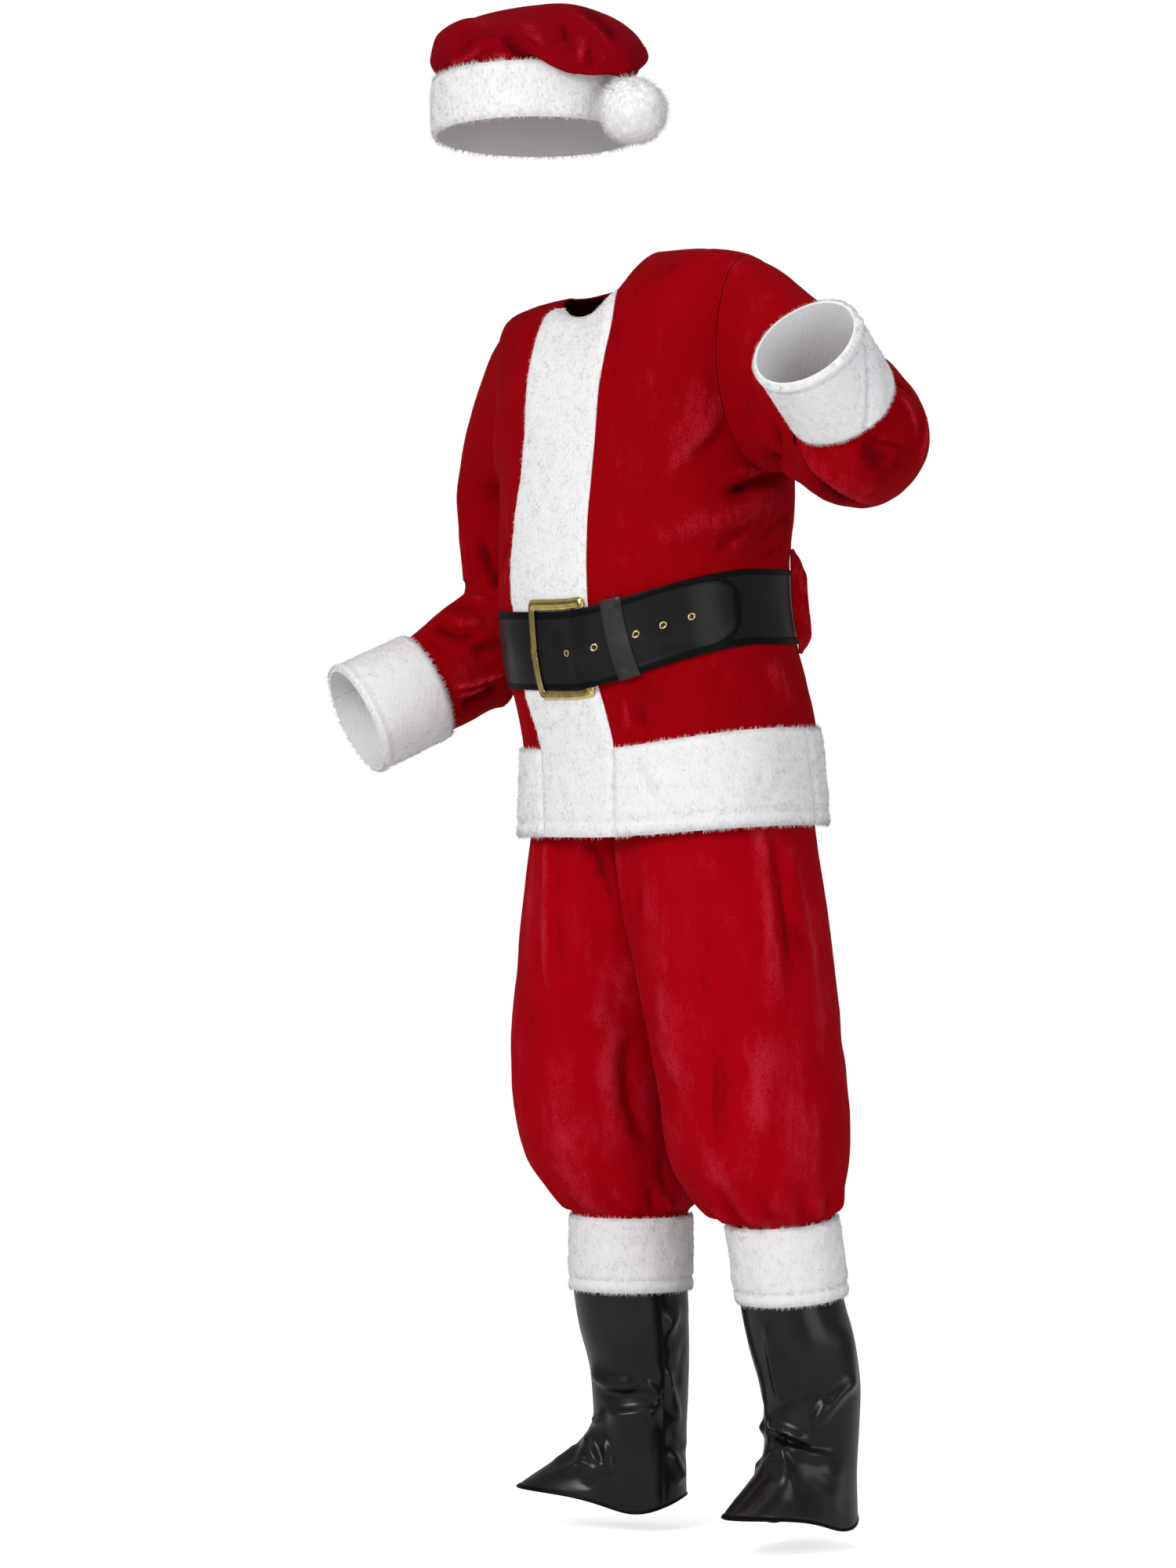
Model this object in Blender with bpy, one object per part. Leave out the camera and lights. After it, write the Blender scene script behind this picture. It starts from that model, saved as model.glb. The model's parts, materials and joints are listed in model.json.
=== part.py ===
"""A santa suit, as it hangs on its wearer: jacket, belt, knee breeches, hat and two boot covers.

The wearer isn't there, so every garment is a hollow wall of cloth that keeps the worn pose.

All sizes are in millimetres and are scaled to metres when a mesh is made. Heights are measured
from the floor. X runs to the wearer's left and Y to the back. An angle round the body is 0 at the
front and 90 degrees at the wearer's left. The origin is then put at the middle of the neck.
"""

import math

import bpy
import numpy as np

MM = 0.001

# How finely a table is read to find the row of a level.
READ_STEPS = 561

# The middle of the neck opening, which becomes the origin.
NECK = (-24.0, -21.0, 1516.0)

# Thicknesses and gaps.
CLOTH = 2.0
VINYL = 1.5
SEAM_GAP = 0.3
PLACKET_FUR = 5.0
PRESSED_FUR = 3.0
BAND_FUR = 6.0
STRAP = 2.0

# The jacket's body, a row for each level from the hem to the neck.
# level, centre x and y, half-width, depth in front and behind, squareness of the oval,
# how much higher the ring runs at the left, right, front and back,
# and the angles of the front band's right and left edge and of the side seam.
BODY_ROWS = (
    # level    cx    cy  width  front  back  square  left  right  front  back  band_r  band_l  side
    (867.0, 25.0, 23.0, 191.0, 156.0, 156.0, 2.3, 8.0, -8.0, -7.0, 7.0, -26.0, 16.0, 103.0),
    (925.0, 24.0, 22.0, 187.0, 153.0, 153.0, 2.3, 9.0, -9.0, -9.0, 9.0, -28.0, 16.0, 102.0),
    (980.0, 22.0, 20.0, 184.0, 150.0, 150.0, 2.3, 12.0, -12.0, -14.0, 14.0, -30.0, 16.0, 101.0),
    (1035.0, 14.0, 13.0, 182.0, 149.0, 148.0, 2.3, 19.0, -19.0, -25.0, 25.0, -32.0, 16.0, 100.0),
    (1090.0, 4.0, 4.0, 179.0, 149.0, 147.0, 2.3, 25.0, -25.0, -32.0, 32.0, -33.0, 16.0, 98.0),
    (1145.0, 0.0, 0.0, 180.0, 150.0, 148.0, 2.3, 24.0, -24.0, -31.0, 31.0, -33.0, 16.0, 96.0),
    (1200.0, 0.0, 0.0, 185.0, 152.0, 149.0, 2.3, 17.0, -20.0, -20.0, 20.0, -34.0, 15.0, 94.0),
    (1250.0, 2.0, 1.0, 188.0, 149.0, 148.0, 2.3, 9.0, -15.0, -10.0, 10.0, -34.0, 14.0, 92.0),
    (1300.0, 1.0, 0.0, 191.0, 144.0, 146.0, 2.3, 6.0, -12.0, -4.0, 5.0, -31.0, 16.0, 91.0),
    (1350.0, 0.0, -2.0, 194.0, 138.0, 143.0, 2.3, 14.0, -6.0, -2.0, 3.0, -30.0, 18.0, 90.0),
    (1400.0, -2.0, -5.0, 197.0, 130.0, 138.0, 2.3, 30.0, 0.0, -6.0, 3.0, -31.0, 20.0, 90.0),
    (1445.0, -4.0, -9.0, 198.0, 117.0, 127.0, 2.3, 58.0, 8.0, -14.0, 6.0, -33.0, 24.0, 90.0),
    (1482.0, -8.0, -13.0, 183.0, 99.0, 108.0, 2.2, 76.0, 14.0, -24.0, 14.0, -37.0, 29.0, 90.0),
    (1508.0, -16.0, -18.0, 130.0, 80.0, 84.0, 2.1, 62.0, 5.0, -27.0, 19.0, -42.0, 35.0, 90.0),
    (1520.0, -24.0, -21.0, 72.0, 62.0, 60.0, 2.0, 50.0, 1.0, -34.0, 24.0, -48.0, 42.0, 90.0),
)

# The levels at which the jacket's pieces start and stop.
HEM = 867.0
HEM_STITCH = 915.0
CLOTH_EDGE = 962.0
BAND_TOP = 980.0
BELT_LOW = 1069.0
BELT_MID = 1115.0
BELT_HIGH = 1161.0
LEVELS_UNDER_ARM = (CLOTH_EDGE, BAND_TOP, 1020.0, 1054.0, BELT_LOW, BELT_MID, BELT_HIGH, 1176.0, 1225.0)

# The armholes are ovals of body row numbers and angle, and the shoulder seams run on to the neck.
ARMHOLE_LOW = 7.9
ARMHOLE_HIGH = 12.0
ARMHOLE_WIDE = 0.36
ARMHOLE_STEPS = 6
SHOULDER_ROWS = (12.6, 13.3, 14.0)
BAND_COLUMNS = 2
FRONT_COLUMNS = 4
BACK_COLUMNS = 10

# The sleeves, a row for each section from the armhole to inside the cuff. A sleeve's first ring is
# the armhole, drawn in by the gap, and the rings turn into the table's over the first few rows.
SLEEVE_ROWS = {
    # centre x     y       z    height  depth
    "left": (
        (192.0, -6.0, 1428.0, 118.0, 66.0),
        (252.0, -12.0, 1402.0, 94.0, 80.0),
        (312.0, -22.0, 1367.0, 86.0, 84.0),
        (366.0, -40.0, 1335.0, 86.0, 84.0),
        (400.0, -72.0, 1322.0, 80.0, 78.0),
        (408.0, -98.0, 1345.0, 70.0, 70.0),
        (411.5, -117.0, 1363.0, 58.7, 58.7),
        (413.0, -131.0, 1375.0, 58.0, 58.0),
    ),
    "right": (
        (-196.0, -2.0, 1392.0, 106.0, 66.0),
        (-234.0, 20.0, 1362.0, 80.0, 72.0),
        (-255.0, 42.0, 1298.0, 56.0, 76.0),
        (-253.0, 54.0, 1222.0, 61.0, 77.0),
        (-254.0, 60.0, 1165.0, 67.0, 77.0),
        (-262.0, 38.0, 1119.0, 68.0, 73.0),
        (-281.0, 2.0, 1090.0, 66.0, 70.0),
        (-301.0, -32.0, 1062.0, 65.0, 66.0),
        (-313.5, -56.0, 1047.0, 63.0, 63.0),
        (-321.0, -70.0, 1039.5, 62.5, 62.5),
    ),
}
SLEEVE_STATIONS = 13
SLEEVE_BLEND = 2.2
SLEEVE_START = 0.6
SLEEVE_GAP = 0.96
ARMHOLE_HALF = 64.0

# The turned-back cuffs: middle of the inner end and of the rim, radius at each, and the way that
# the split faces.
CUFFS = {
    "left": ((412.0, -119.0, 1365.0), (420.0, -200.0, 1431.0), 61.0, 62.0, (0.74, 0.60, 0.30)),
    "right": ((-315.0, -58.0, 1046.0), (-358.0, -140.0, 1004.0), 64.9, 66.0, (-0.70, 0.50, 0.50)),
}
CUFF_COLUMNS = 20
SPLIT_GAP = 1.0

# The belt. Its strap starts under the buckle, goes round by the left side and the back, passes
# through the buckle and lies over itself to the round tip.
# angle along the strap, distance of the strap from the body's surface
STRAP_LIFT = (
    (4.0, 6.0),
    (16.0, 6.0),
    (37.0, 2.3),
    (300.0, 2.3),
    (327.0, 6.0),
    (346.5, 6.0),
    (355.0, 7.4),
    (363.0, 8.7),
    (366.5, 10.9),
    (369.8, 13.7),
    (376.2, 13.7),
    (381.0, 11.2),
    (388.0, 8.4),
    (397.0, 6.0),
    (406.0, 5.4),
    (415.0, 5.4),
    (424.0, 5.4),
    (430.0, 5.4),
    (434.5, 5.4),
    (437.0, 5.4),
    (438.5, 5.4),
)
STRAP_START = 4.0
STRAP_TURN = 360.0
OVERLAP_START = 346.5
TIP_SHAPE = ((424.0, 1.0), (430.0, 0.92), (434.5, 0.74), (437.0, 0.52), (438.5, 0.26))

# The buckle frame: middle angle, half-length, half-height, bar width, corner radius, and the
# distances of its inner and outer face from the body.
BUCKLE_ANGLE = -1.5
BUCKLE_HALF_LENGTH = 45.0
BUCKLE_HALF_HEIGHT = 58.0
BUCKLE_BAR = 10.5
BUCKLE_CORNER = 7.0
BUCKLE_INNER = 8.4
BUCKLE_OUTER = 12.2
BUCKLE_STEPS = 4
FRONT_RADIUS = 158.0

KEEPER_ANGLES = (26.0, 30.0, 34.5)
KEEPER_THICK = 1.6
KEEPER_PAST = 2.4
KEEPER_LIP = (0.4, 0.9)
KEEPER_GAP = 0.6
EYELET_ANGLES = (5.0, 20.0, 37.5, 48.0, 58.5)
EYELET_OUTER = 5.6
EYELET_HOLE = 2.9
EYELET_THICK = 1.0
EYELET_GAP = 0.48
EYELET_SIDES = 12

# The belt loops: height from the belt's middle, distance from the body, twist in degrees.
LOOP_ROWS = (
    (76.0, 2.3, 0.0),
    (62.0, 8.0, 22.0),
    (38.0, 14.0, 40.0),
    (8.0, 14.4, 42.0),
    (-20.0, 14.4, 42.0),
    (-44.0, 13.0, 34.0),
    (-56.0, 2.4, 0.0),
)
LOOP_ANGLE = 119.0
LOOP_HALF_ANGLE = 4.3
LOOP_HALF_WIDTH = 13.5

# The breeches above the fork: level, middle x and y, offset of each half's oval from the middle,
# half-width and depth of that oval.
SEAT_ROWS = (
    (1088.0, 4.0, 4.0, 22.0, 138.0, 122.0),
    (1025.0, 15.0, 14.0, 34.0, 134.0, 125.0),
    (960.0, 22.0, 20.0, 46.0, 128.0, 128.0),
    (895.0, 25.0, 22.0, 58.0, 122.0, 130.0),
    (830.0, 26.0, 23.0, 71.0, 119.0, 131.0),
    (765.0, 27.0, 24.0, 84.0, 117.0, 131.0),
    (700.0, 28.0, 25.0, 96.0, 114.0, 130.0),
    (645.0, 29.0, 26.0, 105.0, 110.0, 127.0),
    (610.0, 29.0, 26.0, 111.0, 108.5, 124.0),
)
# The legs below the fork: level, centre x and y, half-width, depth, slope to the back.
LEG_ROWS = {
    "left": (
        (565.0, 146.0, 30.0, 109.0, 120.0, 0.02),
        (515.0, 151.0, 32.0, 110.0, 115.0, 0.05),
        (465.0, 156.0, 36.0, 104.0, 107.0, 0.08),
        (432.0, 163.0, 42.0, 91.0, 94.0, 0.10),
        (412.0, 171.0, 47.0, 78.0, 79.0, 0.12),
        (400.0, 176.0, 50.5, 62.0, 62.0, 0.12),
        (380.0, 177.5, 52.0, 61.5, 61.5, 0.12),
    ),
    "right": (
        (565.0, -86.0, 23.0, 105.0, 117.0, 0.0),
        (515.0, -91.0, 22.0, 102.0, 108.0, 0.0),
        (465.0, -88.0, 25.0, 96.0, 98.0, 0.0),
        (430.0, -79.0, 36.0, 90.0, 91.0, 0.0),
        (406.0, -70.0, 45.0, 81.0, 81.0, 0.0),
        (393.0, -66.5, 47.8, 69.8, 69.8, 0.0),
        (372.0, -66.0, 48.0, 69.5, 69.5, 0.0),
    ),
}
WAISTBAND_LEVEL = 1052.0
WAISTBAND_TOP = 1088.0
WAISTBAND_EXTRA = 1.5
WAISTBAND_GAP = 0.9
LEG_COLUMNS = 6
LEG_ROUND = 330.0
LEG_APART = 4.0
LEG_ROWS_ABOVE_FORK = 6

# The fur cuffs of the breeches: middle of the top and of the lower edge, radius inside, slope to
# the back.
LEG_CUFFS = {
    "left": ((176.0, 50.5, 397.0), (186.0, 59.0, 303.0), 64.6, 0.12),
    "right": ((-66.0, 48.0, 390.0), (-66.0, 48.0, 298.0), 72.5, 0.0),
}
LEG_CUFF_COLUMNS = 24
LEG_CUFF_FUR = 5.0

# The boot covers, a row for each section from the top to the lower edge, round the ankle:
# level at the side, shift towards the cuff's middle, reach to the toe, reach to the heel,
# half-width, how much higher the ring runs at the toe and at the heel.
BOOT_ROWS = (
    # level shift   toe   heel  width  up_toe up_heel
    (326.0, 1.13, 68.8, 68.8, 68.8, 0.0, 0.0),
    (296.0, 1.0, 69.5, 69.5, 69.5, 0.0, 0.0),
    (248.0, 0.5, 68.0, 65.0, 68.0, 0.0, 0.0),
    (198.0, 0.1, 60.0, 60.0, 61.0, 2.0, 2.0),
    (155.0, 0.0, 58.0, 58.0, 56.0, 8.0, 4.0),
    (115.0, 0.0, 60.0, 57.0, 53.0, 16.0, 8.0),
    (84.0, 0.0, 76.0, 56.0, 52.0, 21.0, 12.0),
    (60.0, 0.0, 103.0, 56.0, 52.0, 24.0, 15.0),
    (40.0, 0.0, 131.0, 56.0, 53.0, 25.0, 17.0),
    (24.0, 0.0, 155.0, 57.0, 54.0, 24.0, 18.0),
)
# ankle x and y, the way of the toe, the shift at the top, how much slimmer the top is
BOOTS = {
    "left": ((203.0, 75.0), (0.0, -1.0), (-17.0, -16.0), 0.107),
    "right": ((-57.0, 56.0), (-0.83, -0.56), (-9.0, -8.0), 0.0),
}
BOOT_SEAM = 127.0
BOOT_RADIUS = 60.0
BOOT_FRONT_COLUMNS = 12
BOOT_BACK_COLUMNS = 5
BOOT_STATIONS = 10

# The hat. Its crown is a fan of ovals, each from a point on the fold under the flop to a point on
# the outline over the top, measured from the middle of the brim's upper edge along the flop.
HAT_MIDDLE = (-100.0, -90.0, 1788.0)
HAT_SLOPE = (0.058, -0.065)
FLOP_WAY = (0.996, -0.086)
CROWN_ROWS = (
    # fold along, fold up, outline along, outline up, half-width, droop of the front end
    (119.5, -16.0, -119.5, -16.0, 119.5, 0.0),
    (120.3, 1.0, -120.5, 3.0, 120.3, 0.0),
    (129.0, 8.0, -129.0, 24.0, 129.0, 0.0),
    (134.0, 9.0, -112.0, 60.0, 125.0, 1.0),
    (138.0, 6.0, -62.0, 82.0, 116.0, 8.0),
    (142.0, 0.0, 8.0, 87.0, 101.0, 26.0),
    (146.0, -7.0, 74.0, 78.0, 80.0, 42.0),
    (150.0, -15.0, 126.0, 53.0, 54.0, 36.0),
    (154.0, -22.0, 159.0, 18.0, 28.0, 12.0),
    (158.0, -23.5, 170.0, -14.0, 10.0, 1.0),
)
CROWN_COLUMNS = 20
CROWN_STATIONS = 13
BRIM_INNER = 121.0
BRIM_HEIGHT = 68.0
BRIM_TOP = -3.0
BRIM_COLUMNS = 28
POMPOM_RADIUS = 43.0
POMPOM_ALONG = 173.5
POMPOM_UP = -64.8
POMPOM_RINGS = 8
POMPOM_SIDES = 14


# ---------------------------------------------------------------- curves and walls

def read_rows(rows, position):
    """Reads a table at row numbers, whole or not, on a smooth curve through its rows.

    Between two rows it is the cubic whose slope at a row is half the step between its neighbours.
    """
    table = np.array(rows, float)
    last = len(table) - 1
    position = np.clip(np.asarray(position, float), 0.0, last)
    row = np.minimum(position.astype(int), last - 1)
    part = (position - row)[..., None]
    before = table[np.maximum(row - 1, 0)]
    here = table[row]
    after = table[row + 1]
    beyond = table[np.minimum(row + 2, last)]
    slope_here = (after - before) / 2
    slope_after = (beyond - here) / 2
    return (
        here * (1 + 2 * part) * (1 - part) ** 2
        + slope_here * part * (1 - part) ** 2
        + after * part ** 2 * (3 - 2 * part)
        + slope_after * part ** 2 * (part - 1)
    )


def smooth(value):
    """A soft step from 0 to 1."""
    value = np.clip(value, 0.0, 1.0)
    return value * value * (3 - 2 * value)


def unit(vector):
    """The vector, or each vector of an array, at length 1."""
    vector = np.asarray(vector, float)
    return vector / np.maximum(np.linalg.norm(vector, axis=-1, keepdims=True), 1e-9)


def oval(angle, wide, front, back, square):
    """A closed outline whose reach at an angle is that of a squarish oval, as x and y."""
    east = np.abs(np.sin(angle)) / wide
    depth = np.where(np.cos(angle) > 0, front, back)
    north = np.abs(np.cos(angle)) / depth
    reach = (east ** square + north ** square) ** (-1 / square)
    return reach * np.sin(angle), -reach * np.cos(angle)


def moved_out(surface, first, second, distance):
    """Points of a surface of two parameters, moved along its normal."""
    step = 0.002
    across = surface(first + step, second) - surface(first - step, second)
    along = surface(first, second + step) - surface(first, second - step)
    normal = unit(np.cross(across, along))
    return surface(first, second) + normal * np.asarray(distance, float)[..., None]


def grid_normals(grid, middles):
    """Outward normals of a closed tube of points, a ring in each row, about the rings' middles."""
    across = np.roll(grid, -1, axis=1) - np.roll(grid, 1, axis=1)
    along = np.gradient(grid, axis=0)
    normal = unit(np.cross(across, along))
    outward = np.sum(normal * (grid - middles[:, None, :]), axis=-1).sum()
    return normal if outward > 0 else -normal


def material(name, colour, roughness, metallic):
    """A plain finish, made once for each name."""
    found = bpy.data.materials.get(name)
    if found:
        return found
    made = bpy.data.materials.new(name)
    made.use_nodes = True
    shader = made.node_tree.nodes["Principled BSDF"]
    shader.inputs["Base Color"].default_value = (*colour, 1.0)
    shader.inputs["Roughness"].default_value = roughness
    shader.inputs["Metallic"].default_value = metallic
    made.diffuse_color = (*colour, 1.0)
    return made


def add_body(name, points, faces, finish):
    """Makes one closed object with its faces out, in metres from the neck."""
    points = (np.asarray(points, float) - NECK) * MM
    faces = np.asarray(faces)
    corners = points[faces]
    volume = np.einsum("ij,ij->i", corners[:, 0], np.cross(corners[:, 1], corners[:, 2])).sum()
    if volume < 0:
        faces = faces[:, ::-1]
    mesh = bpy.data.meshes.new(name)
    mesh.from_pydata(points.tolist(), [], faces.tolist())
    mesh.shade_smooth()
    mesh.set_sharp_from_angle(angle=math.radians(40))
    mesh.materials.append(material(*finish))
    body = bpy.data.objects.new(name, mesh)
    bpy.context.scene.collection.objects.link(body)
    body.parent = bpy.data.objects["santa_suit"]
    return body


def strip_faces(first, second):
    """Two triangles for each step between two rows of point numbers."""
    a = first[:-1]
    b = first[1:]
    c = second[1:]
    d = second[:-1]
    return np.concatenate([np.stack([a, b, c], -1), np.stack([a, c, d], -1)]).reshape(-1, 3)


def wall(name, outer, inner, finish, ring=False, closed_end=False):
    """A wall between two grids of points, a row for each section.

    A ring's rows close on themselves. A closed end is filled with a flat cap on both skins.
    """
    rows, columns = outer.shape[:2]
    numbers = np.arange(rows * columns).reshape(rows, columns)
    if ring:
        numbers = np.concatenate([numbers, numbers[:, :1]], axis=1)
    shift = rows * columns
    faces = []
    for row in range(rows - 1):
        skin = strip_faces(numbers[row], numbers[row + 1])
        faces.append(skin)
        faces.append(skin[:, ::-1] + shift)
    faces.append(strip_faces(numbers[0] + shift, numbers[0]))
    if closed_end:
        middle = 2 * shift
        last = numbers[-1]
        cap = np.stack([last[:-1], last[1:], np.full(len(last) - 1, middle)], -1)
        faces.append(cap)
        faces.append(np.where(cap == middle, middle + 1, cap + shift)[:, ::-1])
    else:
        faces.append(strip_faces(numbers[-1], numbers[-1] + shift))
    if not ring:
        faces.append(strip_faces(numbers[:, 0], numbers[:, 0] + shift))
        faces.append(strip_faces(numbers[:, -1] + shift, numbers[:, -1]))
    points = [outer.reshape(-1, 3), inner.reshape(-1, 3)]
    if closed_end:
        points.append(outer[-1].mean(axis=0)[None])
        points.append(inner[-1].mean(axis=0)[None])
    return add_body(name, np.concatenate(points), np.concatenate(faces), finish)


PLUSH = ("red_plush", (0.42, 0.004, 0.012), 0.85, 0.0)
FUR = ("white_fur", (0.90, 0.90, 0.92), 0.95, 0.0)
BELT = ("black_belt", (0.012, 0.012, 0.013), 0.45, 0.0)
BOOT = ("black_vinyl", (0.010, 0.010, 0.011), 0.32, 0.0)
GOLD = ("gold", (0.83, 0.60, 0.20), 0.18, 1.0)
BRASS = ("brass", (0.72, 0.50, 0.22), 0.25, 1.0)


# ---------------------------------------------------------------- jacket

def body_surface(angle, row):
    """The inner face of the jacket's cloth at an angle round the body and a body row number."""
    (level, middle_x, middle_y, wide, front, back, square,
     up_left, up_right, up_front, up_back) = np.moveaxis(read_rows(BODY_ROWS, row), -1, 0)[:11]
    x, y = oval(angle, wide, front, back, square)
    side = np.sin(angle)
    face = np.cos(angle)
    rise = side ** 2 * np.where(side > 0, up_left, up_right)
    rise = rise + face ** 2 * np.where(face > 0, up_front, up_back)
    return np.stack([x + middle_x, y + middle_y, level + rise], -1)


def body_row(level):
    """The body row number of a level."""
    rows = np.linspace(0, len(BODY_ROWS) - 1, READ_STEPS)
    return np.interp(level, read_rows(BODY_ROWS, rows)[:, 0], rows)


def armhole_turns():
    """The angles round an armhole, from its lowest point to its highest."""
    return np.linspace(0, np.pi, ARMHOLE_STEPS + 1)


def armhole_row(turn):
    """The body row number at an angle round an armhole."""
    half = (ARMHOLE_HIGH - ARMHOLE_LOW) / 2
    return ARMHOLE_LOW + half - half * np.cos(turn)


def panel_rows():
    """The body row numbers that every panel of the jacket shares."""
    under = [body_row(level) for level in LEVELS_UNDER_ARM]
    return np.concatenate([under, armhole_row(armhole_turns()), SHOULDER_ROWS])


def armhole_angle(rows):
    """How far the armhole's edge stands from the side line at each body row."""
    half = (ARMHOLE_HIGH - ARMHOLE_LOW) / 2
    place = (rows - ARMHOLE_LOW - half) / half
    return ARMHOLE_WIDE * np.sqrt(np.maximum(1 - place ** 2, 0.0))


def seam_angles(rows):
    """The angles of the front band's right edge, its middle, its left edge and the side seam."""
    table = read_rows(BODY_ROWS, rows)
    right, left, side = np.radians(table[:, 11:14]).T
    return right, (right + left) / 2, left, side


def between(first, last, steps):
    """Columns of angles from one edge to another, a row for each body row."""
    share = np.linspace(0, 1, steps + 1)[None, :]
    return first[:, None] * (1 - share) + last[:, None] * share


def front_columns(rows, side):
    """The angles of a front panel's columns, from the middle of the band to the side seam."""
    right, middle, left, seam = seam_angles(rows)
    edge = left if side == "left" else right
    sign = 1.0 if side == "left" else -1.0
    outer = sign * (seam - armhole_angle(rows))
    band = between(middle, edge, BAND_COLUMNS)
    rest = between(edge, outer, FRONT_COLUMNS)
    return np.concatenate([band, rest[:, 1:]], axis=1)


def back_columns(rows):
    """The angles of the back panel's columns, from the left side seam to the right one."""
    seam = seam_angles(rows)[3]
    cut = armhole_angle(rows)
    return between(seam + cut, 2 * np.pi - seam - cut, BACK_COLUMNS)


def narrowed(rows, columns, start, end):
    """Columns of angles with the first or last one drawn in by half a seam's gap."""
    inset = SEAM_GAP / 2 / (read_rows(BODY_ROWS, rows)[:, 4] - CLOTH)
    way = np.sign(columns[:, -1] - columns[:, 0])
    columns = columns.copy()
    if start:
        columns[:, 0] += way * inset
    if end:
        columns[:, -1] -= way * inset
    return columns


def on_body(name, rows, columns, low, high, finish):
    """A wall on the body, between two distances from the surface."""
    places = np.broadcast_to(rows[:, None], columns.shape)
    low = np.broadcast_to(low, columns.shape)
    high = np.broadcast_to(high, columns.shape)
    inner = moved_out(body_surface, columns, places, low)
    outer = moved_out(body_surface, columns, places, high)
    return wall(name, outer, inner, finish)


def make_jacket_panels():
    """Two fronts that meet under the band, and the back."""
    rows = panel_rows()
    left = narrowed(rows, front_columns(rows, "left"), True, True)
    right = narrowed(rows, front_columns(rows, "right"), True, True)[:, ::-1]
    on_body("jacket_front_left", rows, left, 0.0, CLOTH, PLUSH)
    on_body("jacket_front_right", rows, right, 0.0, CLOTH, PLUSH)
    on_body("jacket_back", rows, narrowed(rows, back_columns(rows), True, True), 0.0, CLOTH, PLUSH)


def make_front_band():
    """The fur band down the front, pressed thin under the belt."""
    hem_rows = [body_row(HEM), body_row(HEM_STITCH)]
    rows = np.concatenate([hem_rows, panel_rows()])
    right = front_columns(rows, "right")[:, BAND_COLUMNS:0:-1]
    left = front_columns(rows, "left")[:, :BAND_COLUMNS + 1]
    columns = np.concatenate([right, left], axis=1)
    pressed = (rows > body_row(BELT_LOW) - 0.01) & (rows < body_row(BELT_HIGH) + 0.01)
    fur = np.where(pressed, PRESSED_FUR, PLACKET_FUR)[:, None]
    on_body("jacket_front_band", rows, columns, CLOTH + SEAM_GAP, CLOTH + SEAM_GAP + fur, FUR)


def make_hem_bands():
    """Three fur bands round the hem, between the front band and the side seams."""
    rows = np.array([body_row(level) for level in (HEM, HEM_STITCH, CLOTH_EDGE, BAND_TOP)])
    low = CLOTH + SEAM_GAP
    high = low + BAND_FUR
    for side in ("left", "right"):
        columns = front_columns(rows, side)[:, BAND_COLUMNS:]
        columns = narrowed(rows, narrowed(rows, columns, True, True), True, False)
        columns = np.sort(columns, axis=1)
        on_body("hem_band_front_" + side, rows, columns, low, high, FUR)
    on_body("hem_band_back", rows, narrowed(rows, back_columns(rows), True, True), low, high, FUR)


def ring_frames(middles):
    """Two directions across a path at each of its points, carried along it without twist.

    The first starts upright and the second starts towards the front.
    """
    along = unit(np.gradient(middles, axis=0))
    up = np.zeros_like(middles)
    guide = np.array([0.0, 0.0, 1.0])
    for station, way in enumerate(along):
        guide = unit(guide - way * np.dot(guide, way))
        up[station] = guide
    front = np.cross(along, up)
    front = front if front[0, 1] < 0 else -front
    return along, up, front


def sleeve_turns():
    """The angles round a sleeve, which share the armhole's points on its front and back."""
    half = armhole_turns()[:-1]
    return np.concatenate([half, half + np.pi])


def sleeve_grid(side):
    """The outer face of a sleeve and the middles of its rings.

    The first ring is the armhole, and the rings turn round over the sleeve's upper part.
    """
    sign = 1.0 if side == "left" else -1.0
    table = SLEEVE_ROWS[side]
    last = len(table) - 1
    stations = np.append(np.linspace(0, last - 1, SLEEVE_STATIONS - 1), last)
    rows = read_rows(table, stations)
    middles = rows[:, :3]
    along, up, front = ring_frames(middles)
    turn = sleeve_turns()
    fit = 1 - SLEEVE_GAP / ARMHOLE_HALF
    edge_row = ARMHOLE_LOW + (ARMHOLE_HIGH - ARMHOLE_LOW) / 2 * (1 - fit * np.cos(turn))
    edge_angle = sign * (np.pi / 2 - fit * ARMHOLE_WIDE * np.sin(turn))
    edge = moved_out(body_surface, edge_angle, edge_row, np.full(len(turn), CLOTH))
    rise = -np.cos(turn)[None, :, None] * rows[:, 3, None, None] * up[:, None, :]
    reach = np.sin(turn)[None, :, None] * rows[:, 4, None, None] * front[:, None, :]
    rings = middles[:, None, :] + rise + reach
    blend = smooth(stations / SLEEVE_BLEND)[:, None, None]
    start = edge[None] + (middles - middles[0])[:, None, :] * SLEEVE_START
    return start * (1 - blend) + rings * blend, middles


def make_sleeves():
    """Two sleeves, set into the armholes."""
    for side in ("left", "right"):
        outer, middles = sleeve_grid(side)
        normal = grid_normals(outer, middles)
        wall("sleeve_" + side, outer, outer - CLOTH * normal, PLUSH, ring=True)


def make_sleeve_cuffs():
    """Two turned-back fur cuffs, each a band whose ends meet at a split on the outer side."""
    for side, (start, rim, radius, rim_radius, split_way) in CUFFS.items():
        start = np.array(start)
        rim = np.array(rim)
        way = unit(rim - start)
        split = unit(np.array(split_way) - way * np.dot(split_way, way))
        other = np.cross(way, split)
        half_gap = SPLIT_GAP / 2 / radius
        turn = np.linspace(half_gap, 2 * np.pi - half_gap, CUFF_COLUMNS + 1)
        ring = np.cos(turn)[:, None] * split + np.sin(turn)[:, None] * other
        share = np.array([0.0, 1.0])[:, None, None]
        middle = start * (1 - share) + rim * share
        inner = middle + ring[None] * (radius * (1 - share) + rim_radius * share)
        outer = inner + ring[None] * BAND_FUR
        wall("sleeve_cuff_" + side, outer, inner, FUR)


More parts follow.
